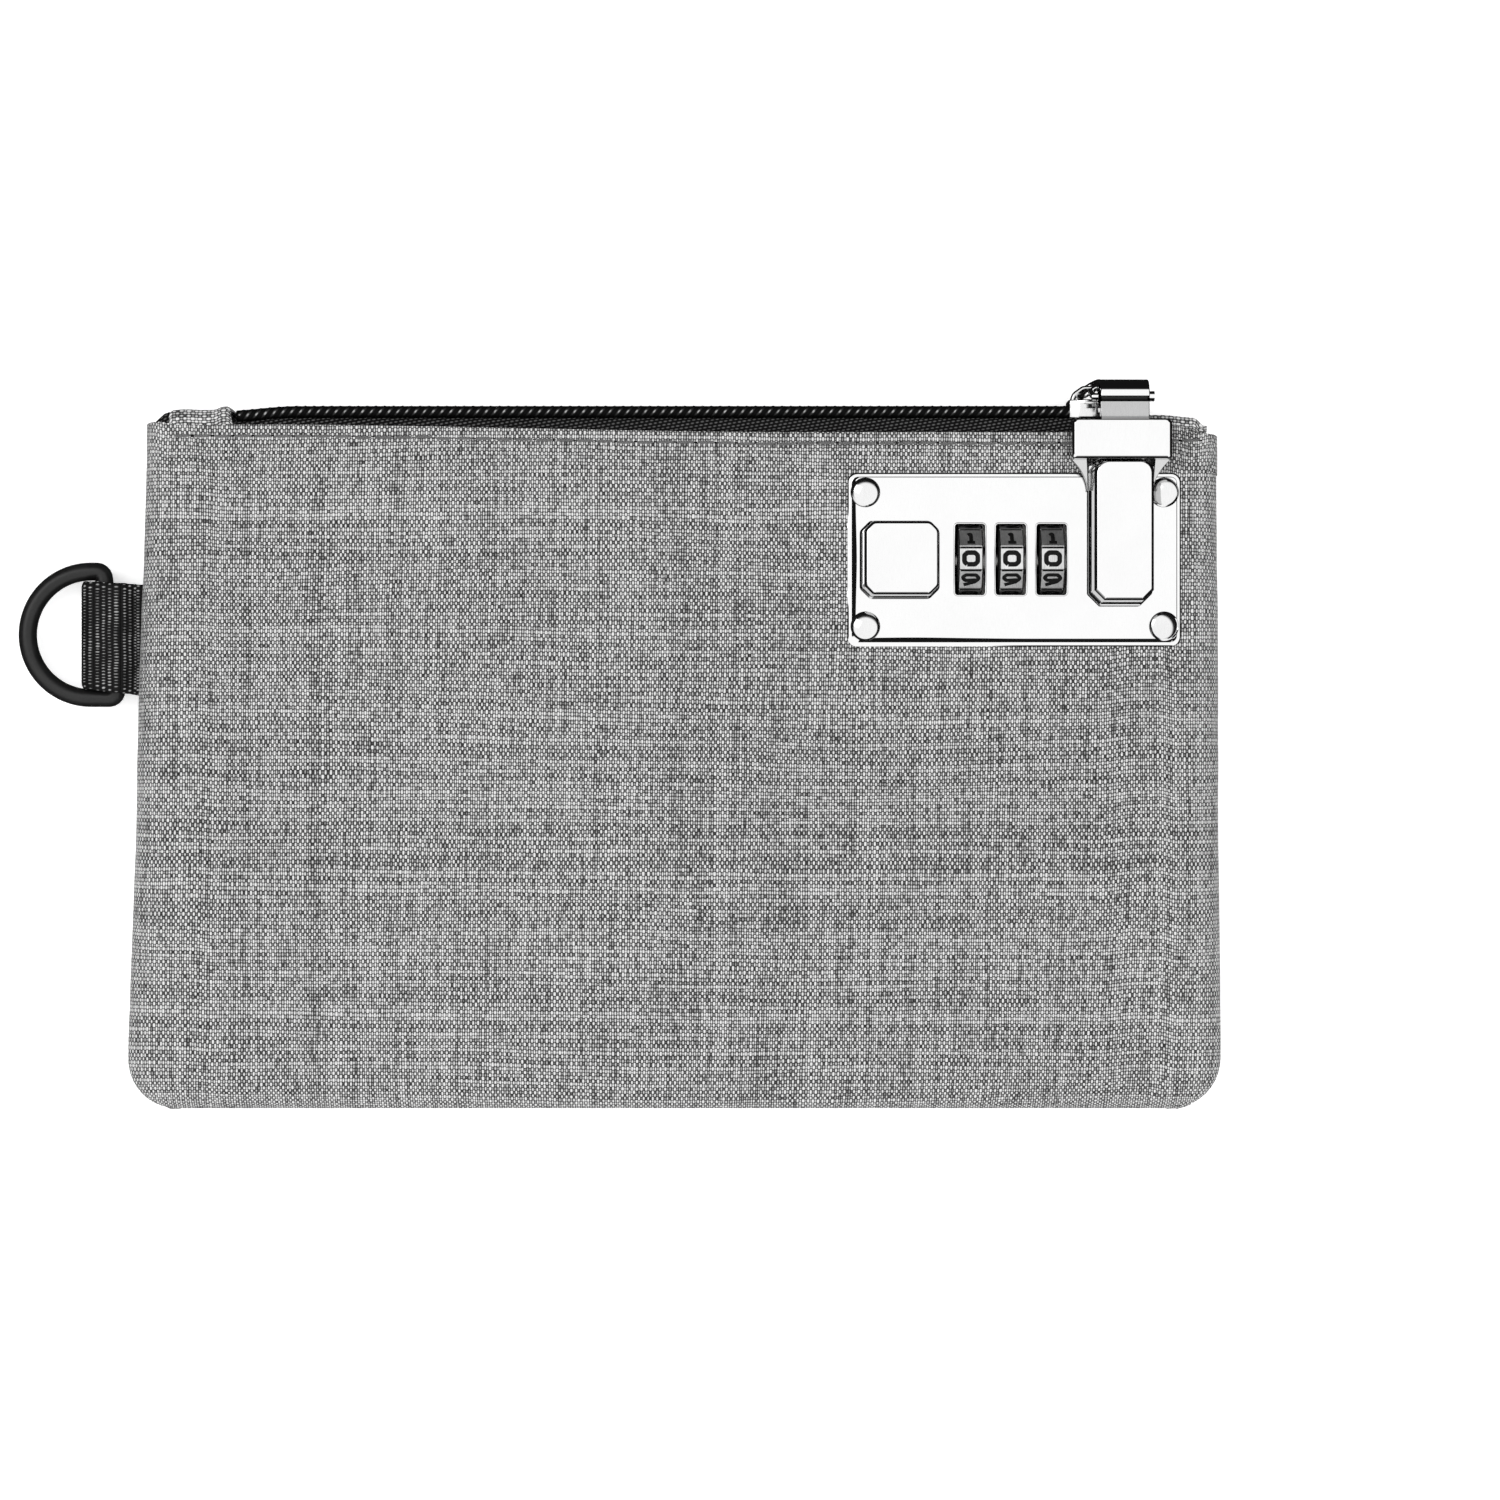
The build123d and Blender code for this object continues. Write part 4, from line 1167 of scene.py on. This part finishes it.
def face_plate():
    """Stamped face plate: thin flange, raised and slightly crowned field, cut windows."""
    z0, z1 = PLATE_LOW[2], PLATE_HIGH[2]
    levels = [(0.10, z0), (0.0, z0 + 0.06), (0.0, z0 + 0.18), (0.22, z0 + 0.37), (0.30, z0 + 0.40),
              (PLATE_RIM, z0 + 0.42), (PLATE_RIM + 0.04, z0 + 0.44), (PLATE_RIM + 0.52, z0 + 0.90),
              (PLATE_RIM + 0.62, z0 + 0.965), (2.4, z0 + 0.985), (5.0, z1 - 0.005), (9.0, z1)]
    points, faces = slab(plate_outline, levels, LOCK[:2])
    off_x, off_y = points[:, 0] - LOCK[0], points[:, 1] - LOCK[1]
    on_rim = (points[:, 2] > z0 + 0.3) & (points[:, 2] < z0 + 0.5)
    points[:, 2] -= 0.27 * on_rim * (left_swell(off_x, off_y) + low_swell(off_x, off_y))
    made = piece("face_plate", (points, faces), "bag", CHROME, ["lock_face_plate"])
    outlines = [window(x) for x in dial_places()]
    outlines += [rounded(rectangle(*BUTTON_SLOT), 0.4), rounded(rectangle(*HOOK_SLOT), 0.5)]
    cut(outward(made), [prism(outline, z0 - 1, z1 + 1) for outline in outlines])
    made.data.polygons.foreach_set("use_smooth", [True] * len(made.data.polygons))
    made.data.set_sharp_from_angle(angle=math.radians(30))
    crisp(made)
    for number, x in enumerate(dial_places(), start=1):
        rim = tube(lay(window(x, 0.10), 2, z1 + 0.02), 0.16, 8, closed=True)
        piece(f"window_rim_{number}", rim, "bag", CHROME, sharp=0)


def rivets():
    """Four domed rivet heads with a thin rim, and their shanks; each cap tilts a little."""
    low, high = corners("lock_rivets")
    r, shank, ball = 2.75, 1.2, 5.2     # head and shank radius, and the dome's own
    z, top = PLATE_Z, high[2]
    profile = [(shank, low[2] + 0.4), (shank, z - 0.1), (r - 0.12, z - 0.02), (r, z + 0.05), (r, z + 0.30),
               (r - 0.06, z + 0.36), (r - 0.30, z + 0.56)]
    for a in np.radians(np.linspace(26, 0.2, 12)):
        profile.append((ball * math.sin(a), top - ball * (1 - math.cos(a))))
    left, right, front, back = low[0] + r, high[0] - r, low[1] + r, high[1] - r
    parts = []
    for middle, tilt in (((left, front), (0.02, -0.03)), ((left, back), (0.03, 0.02)),
                         ((right, front), (-0.13, 0.06)), ((right, back), (0.15, 0.05))):
        points, faces = stack([lay(np.array(middle) + radius * circle(40), 2, height)
                               for radius, height in profile])
        on_cap = points[:, 2] > z + 0.5
        points[:, 2] += (points[:, :2] - middle) @ np.array(tilt) * on_cap
        parts.append((points, faces))
    outward(piece("rivet_heads", join(parts), "bag", RIVET_LOOK, ["lock_rivets"]))


def button():
    """Square push button: sloping sides, softly crowned top, stem through the plate."""
    low, high = corners("release_button")
    w, h, c = 7.4, (high[1] - low[1]) / 2, 1.9
    x, y = (high[0] + low[0]) / 2, LOCK[1]
    z0, z1 = PLATE_Z + 0.12, high[2]

    def outline(inset):
        a, b, k = w - inset, h - inset, max(c - CUT_SHRINK * inset, 0.3)
        low_half = notched(a, -b, 0, k)[:4]
        return rounded(low_half + [(-x, -y) for x, y in low_half], 1.1, arc=4)

    levels = [(0.0, z0), (0.0, z0 + 0.06), (0.30, z0 + 0.30), (0.35, z0 + 0.5), (0.46, z1 - 0.48),
              (0.50, z1 - 0.40), (0.90, z1 - 0.08), (1.0, z1 - 0.02), (1.4, z1)]
    cap = slab(outline, levels, (x - 0.1, y - 0.1), lean=(0.35, 0.3))
    stem = prism(rectangle(x - 0.4, y - 3.4, x + 4.6, y + 3.4), low[2], z0 + 0.3)
    made = piece("release_button_cap", join([cap, stem]), "button_slide_unit", BRIGHT,
                 ["release_button"], sharp=28)
    crisp(outward(made))


# strokes of the digits in a box from -1 to 1, drawn as a generic squared numeral
DIGITS = {
    0: [[(-0.45, -1), (0.45, -1), (0.78, -0.55), (0.78, 0.55), (0.45, 1), (-0.45, 1), (-0.78, 0.55),
         (-0.78, -0.55), (-0.45, -1)]],
    1: [[(-0.32, 0.6), (0.05, 1), (0.05, -1)], [(-0.4, -1), (0.5, -1)]],
    2: [[(-1, 0.5), (-0.6, 1), (0.6, 1), (1, 0.5), (0.6, 0.05), (-1, -1), (1, -1)]],
    3: [[(-1, 1), (1, 1), (0.1, 0.1), (0.7, 0.05), (1, -0.5), (0.6, -1), (-0.6, -1), (-1, -0.6)]],
    4: [[(0.5, -1), (0.5, 1), (-1, -0.45), (1, -0.45)]],
    5: [[(1, 1), (-0.8, 1), (-0.9, 0.1), (0.5, 0.15), (1, -0.4), (0.6, -1), (-1, -1)]],
    6: [[(0.8, 1), (-0.5, 0.4), (-1, -0.3), (-0.6, -1), (0.6, -1), (1, -0.45), (0.6, 0.1), (-0.8, 0.0)]],
    7: [[(-1, 1), (1, 1), (-0.2, -1)]],
    8: [[(-0.5, 0.08), (-0.9, 0.5), (-0.5, 1), (0.5, 1), (0.9, 0.5), (0.5, 0.08), (1, -0.45), (0.6, -1),
         (-0.6, -1), (-1, -0.45), (-0.5, 0.08), (0.5, 0.08)]],
    9: [[(-0.8, -1), (0.5, -0.4), (1, 0.3), (0.6, 1), (-0.6, 1), (-1, 0.45), (-0.6, -0.1), (0.8, 0.0)]],
}


def dial(number):
    """Ten-sided wheel with softened faces and grooves, and its painted digits; its end faces and groove
    bottoms are black as painted shade.
    """
    low, high = corners(f"dial_{number}")
    axle, half = (low + high) / 2, (high[0] - low[0]) / 2
    apothem, faces = 6.6, 10
    length = apothem * math.tan(math.pi / faces)
    body = f"number_wheel_{number}"

    def facet(k):
        """Middle, up direction and normal of face k, counted from the top towards +Y."""
        sin, cos = math.sin(2 * math.pi * k / faces), math.cos(2 * math.pi * k / faces)
        up, normal = np.array([0, cos, -sin]), np.array([0, sin, cos])
        return axle + normal * apothem, up, normal

    profile = []
    for k in range(faces):
        middle, up, normal = facet(k)
        for along, lift in ((-1.0, -0.42), (-0.955, -0.16), (-0.90, -0.04), (-0.80, 0.0), (0.80, 0.0),
                            (0.90, -0.04), (0.955, -0.16)):
            point = middle + up * along * length + normal * lift
            profile.append(point[1:])
    profile = np.array(profile)[::-1]
    ends = [(-half, 0.45), (-half + 0.08, 0.18), (-half + 0.25, 0.0), (half - 0.25, 0.0),
            (half - 0.08, 0.18), (half, 0.45)]
    shape = stack([lay(axle[1:] + (profile - axle[1:]) * (1 - drop / apothem), 0, axle[0] + off)
                   for off, drop in ends])
    wheel = piece(f"dial_wheel_{number}", shape, body, DIAL_LOOK, [f"dial_{number}"],
                  sharp=40)
    crisp(outward(wheel))
    # End faces of the wheel take the black paint: painted shade on the wheel's sides.
    wheel.data.materials.append(PAINT_AND_SHADE)
    for face in wheel.data.polygons:
        face.material_index = int(abs(face.normal.x) > 0.3)
    marks = []
    digit_w, digit_h = 1.58, 1.08       # half width and half height
    groove = np.array([[-half + 0.35, -length], [half - 0.35, -length]])
    for k in range(faces):
        middle, up, normal = facet(k)
        plane = np.array([(1.0, 0, 0), up])
        for stroke in DIGITS[k]:
            path = rounded([(a * digit_w, b * digit_h) for a, b in stroke], 0.35, closed=False, arc=4)
            marks.append(tube(middle + path @ plane, 0.45 if k == 0 else 0.37, 10, flat=(normal, 0.18)))
        # Black tube along the groove between facets: painted shade in the groove.
        marks.append(tube(middle - normal * 0.30 + groove @ plane, 0.27, 8))
    piece(f"dial_digits_{number}", join(marks), body, PAINT_AND_SHADE, sharp=50)


# ---------------- D-ring and webbing
def d_ring():
    """Bent wire D with tight corners and a slightly slanted bar."""
    low, high = corners("d_ring")
    wire = (high[2] - low[2]) / 2
    z, y = (low[2] + high[2]) / 2, (low[1] + high[1]) / 2 + 0.35
    radius = (high[1] - low[1]) / 2 - wire + 0.15
    arc_x = low[0] + wire + radius - 0.4
    turn = np.linspace(0, math.pi, 48)
    bow_side = np.column_stack([arc_x - radius * np.sin(turn), y + radius * np.cos(turn)])
    top, bottom = (arc_x + 2.3, y + radius), (arc_x + 4.9, y - radius)
    corner = rounded([bow_side[-1], bottom, top, bow_side[0]], [0, 1.3, 1.3, 0], closed=False, arc=8)
    path, _ = evenly(np.concatenate([bow_side, corner[1:-1], bow_side[:1]]), 0.4)
    shape = tube(lay(path[:-1], 2, z), wire, 24, closed=True)
    piece("d_ring_wire", shape, "ring", BLACK_WIRE, ["d_ring"], sharp=0)


def webbing():
    """Ribbed webbing folded round the ring's bar, both ends in the side seam."""
    low, high = corners("webbing_loop")
    y0, y1 = low[1], high[1]
    t = 0.9
    z_up, z_dn = high[2] - t / 2 - 0.1, low[2] + t / 2 + 0.1
    fold, opened, pinched, seam = low[0] + t / 2 + 0.1, -104.0, -101.3, high[0]
    outline = [(seam, SEAM_Z + 0.55), (pinched, SEAM_Z + 0.6), (opened, z_up), (fold, z_up), (fold, z_dn),
               (opened, z_dn), (pinched, SEAM_Z - 0.6), (seam, SEAM_Z - 0.55)]
    path, along = bent(outline, [0, 1.2, 1.6, 2.6, 2.6, 1.6, 1.2, 0], 10, 0.11)
    tangent = np.gradient(path, axis=0)
    tangent /= np.linalg.norm(tangent, axis=1)[:, None]
    normal = np.column_stack([tangent[:, 1], -tangent[:, 0]])
    cols = np.linspace(y0, y1, 92)
    selvage = smooth(np.minimum(cols - y0, y1 - cols) / 0.9)
    share = (cols - y0) / (y1 - y0)
    rows = []
    for p, n, a in zip(path, normal, along):
        rib_no = math.floor(a / RIB_PITCH)
        ridge = abs(math.sin(math.pi * a / RIB_PITCH)) ** 0.7
        beads = 0.55 + 0.45 * np.abs(np.sin(math.pi * (cols / BEAD_PITCH + 0.5 * (rib_no % 2))))
        lift = 0.13 * ridge * beads * (0.4 + 0.6 * selvage) - 0.25 * (1 - selvage) ** 2
        skew = (1.56 - 0.89 * share) * (p[0] - low[0]) / (high[0] - low[0])
        rows.append(np.column_stack([p[0] + n[0] * lift, cols + 0.6 * share - skew, p[1] + n[1] * lift]))
    points = np.array(rows)
    threads = points * (0, 1, 0)
    threads[:, :, 0] = along[:, None]
    made = piece("webbing_strap", sheet_shape(points, flip=True), "bag", WEB_LOOK,
                 ["webbing_loop"], sharp=0, cloth=threads)
    thicken(made, t)


# ---------------- build
front_panel()
back_panel()
topstitch("topstitch_front", front_surface, stitch_row, -93.0, 99.0, 1)
topstitch("topstitch_back", lambda x, y: back_surface(x, y, 1 + 0 * x), lambda x: back_edge(x) - 2.5,
          -92.0, 94.0, -1)
end_tab("tab_left_cloth", "end_tab_left", -93.7, -82.3, 11.6,
        lambda x: 64.7 + 0.15 * waves(x, 0 * x, 6, 52) + 0.65 * smooth((x + 85.5) / 2)
        - 0.6 * smooth((x + 82.9) / 0.6) - 0.9 * smooth((-93.2 - x) / 0.6), slant=0.2)
end_tab("tab_right_cloth", "end_tab_right", 88.6, 99.4, 11.9,
        lambda x: 63.6 - 0.5 * smooth((x - 91) / 6) - 1.7 * smooth((x - 96.8) / 2.2))
front_tape, tape_w, tape_h = zipper_tape(
    "zipper_tape_front_cloth", "zipper_tape_front", [(63.2, 7.9), (63.2, 11.0), (62.3, 11.4), (55.0, 11.5)],
    [0, 0.9, 1.2, 0], -96.4, 93.6, -0.2)
back_tape, tape_w, tape_h = zipper_tape(
    "zipper_tape_back_cloth", "zipper_tape_back", [(63.2, 7.1), (63.2, 3.4), (62.2, 2.75), (55.0, 1.6)],
    [0, 0.9, 1.6, 0], -96.4, 93.6, -0.2)
zipper_coil("coil_front", "zipper_coil_front", 1, 0.0)
zipper_coil("coil_back", "zipper_coil_back", -1, math.pi)
coil_cord("coil_cord_front", "zipper_coil_front")
coil_cord("coil_cord_back", "zipper_coil_back")
zipper_stops()
slider()
head()
pin_core()
puller_tongue()
face_plate()
rivets()
button()
for n in (1, 2, 3):
    dial(n)
d_ring()
webbing()
bail()
finish_node("eye_pin", BRIGHT)
for name in ("clamp_plate", "lock_case", "dial_axle", "gate_lever", "detent_spring", "return_spring",
             "lock_bar", "code_sleeve_1", "code_sleeve_2", "code_sleeve_3"):
    finish_node(name, STEEL)


# ---------------- floor, light and camera
def floor():
    """Plain pale table top."""
    half, mesh = 9000 * MM, bpy.data.meshes.new("table_top")
    mesh.from_pydata(lay(rectangle(-half, -half, half, half), 2, 0).tolist(), [], [(0, 1, 2, 3)])
    s = Shader("table_paint", Roughness=0.9, Specular_IOR_Level=0.2, Emission_Strength=0.42)
    s.surface.inputs["Emission Color"].default_value = (1, 1, 1, 1)
    x, y, _ = s.place()
    s.base(s.noise(x * 0.01, y * 0.01, 0.0, detail=2), (0.3, 0.90), (0.7, 0.93))
    mesh.materials.append(s.material)
    made = bpy.data.objects.new("table_top", mesh)
    scene.collection.objects.link(made)
    made.visible_glossy = False


def world():
    """White studio dome over a dark horizon; the dome comes lower in front, towards -Y."""
    made = bpy.data.worlds.new("studio")
    scene.world = made
    made.use_nodes = True
    tree = made.node_tree
    coords = tree.nodes.new("ShaderNodeTexCoord")
    parts = tree.nodes.new("ShaderNodeSeparateXYZ")
    tree.links.new(coords.outputs["Generated"], parts.inputs[0])
    y, z = [Num(tree, parts.outputs[i]) for i in (1, 2)]
    horizon, soft, dome, dark = 0.52, 0.14, 1.75, 0.012
    t = ((z - y * 0.22 - horizon) / soft).clamp()
    level = t * t * (t * -2.0 + 3.0) * dome + dark
    tree.links.new(level.value, tree.nodes["Background"].inputs["Strength"])
    tree.nodes["Background"].inputs["Color"].default_value = (1, 1, 1, 1)


def area_light(name, place, aim, size, power):
    lamp = bpy.data.lights.new(name, "AREA")
    lamp.shape, lamp.size, lamp.energy = "SQUARE", size, power
    made = bpy.data.objects.new(name, lamp)
    made.location = place
    made.rotation_euler = (Vector(place) - Vector(aim)).to_track_quat("Z", "Y").to_euler()
    scene.collection.objects.link(made)


def camera():
    """Straight above the bag, at the distance that gives the view's perspective."""
    lens = bpy.data.cameras.new("camera")
    lens.lens, lens.sensor_width = 76.5, 36.0
    made = bpy.data.objects.new("camera", lens)
    made.location = (0.0144, 0.0015, 0.605)
    scene.collection.objects.link(made)
    scene.camera = made


floor()
world()
area_light("key_softbox", (-0.9, 0.5, 1.3), (0, 0, 0), 0.8, 5)
camera()
scene.view_settings.view_transform = "Standard"
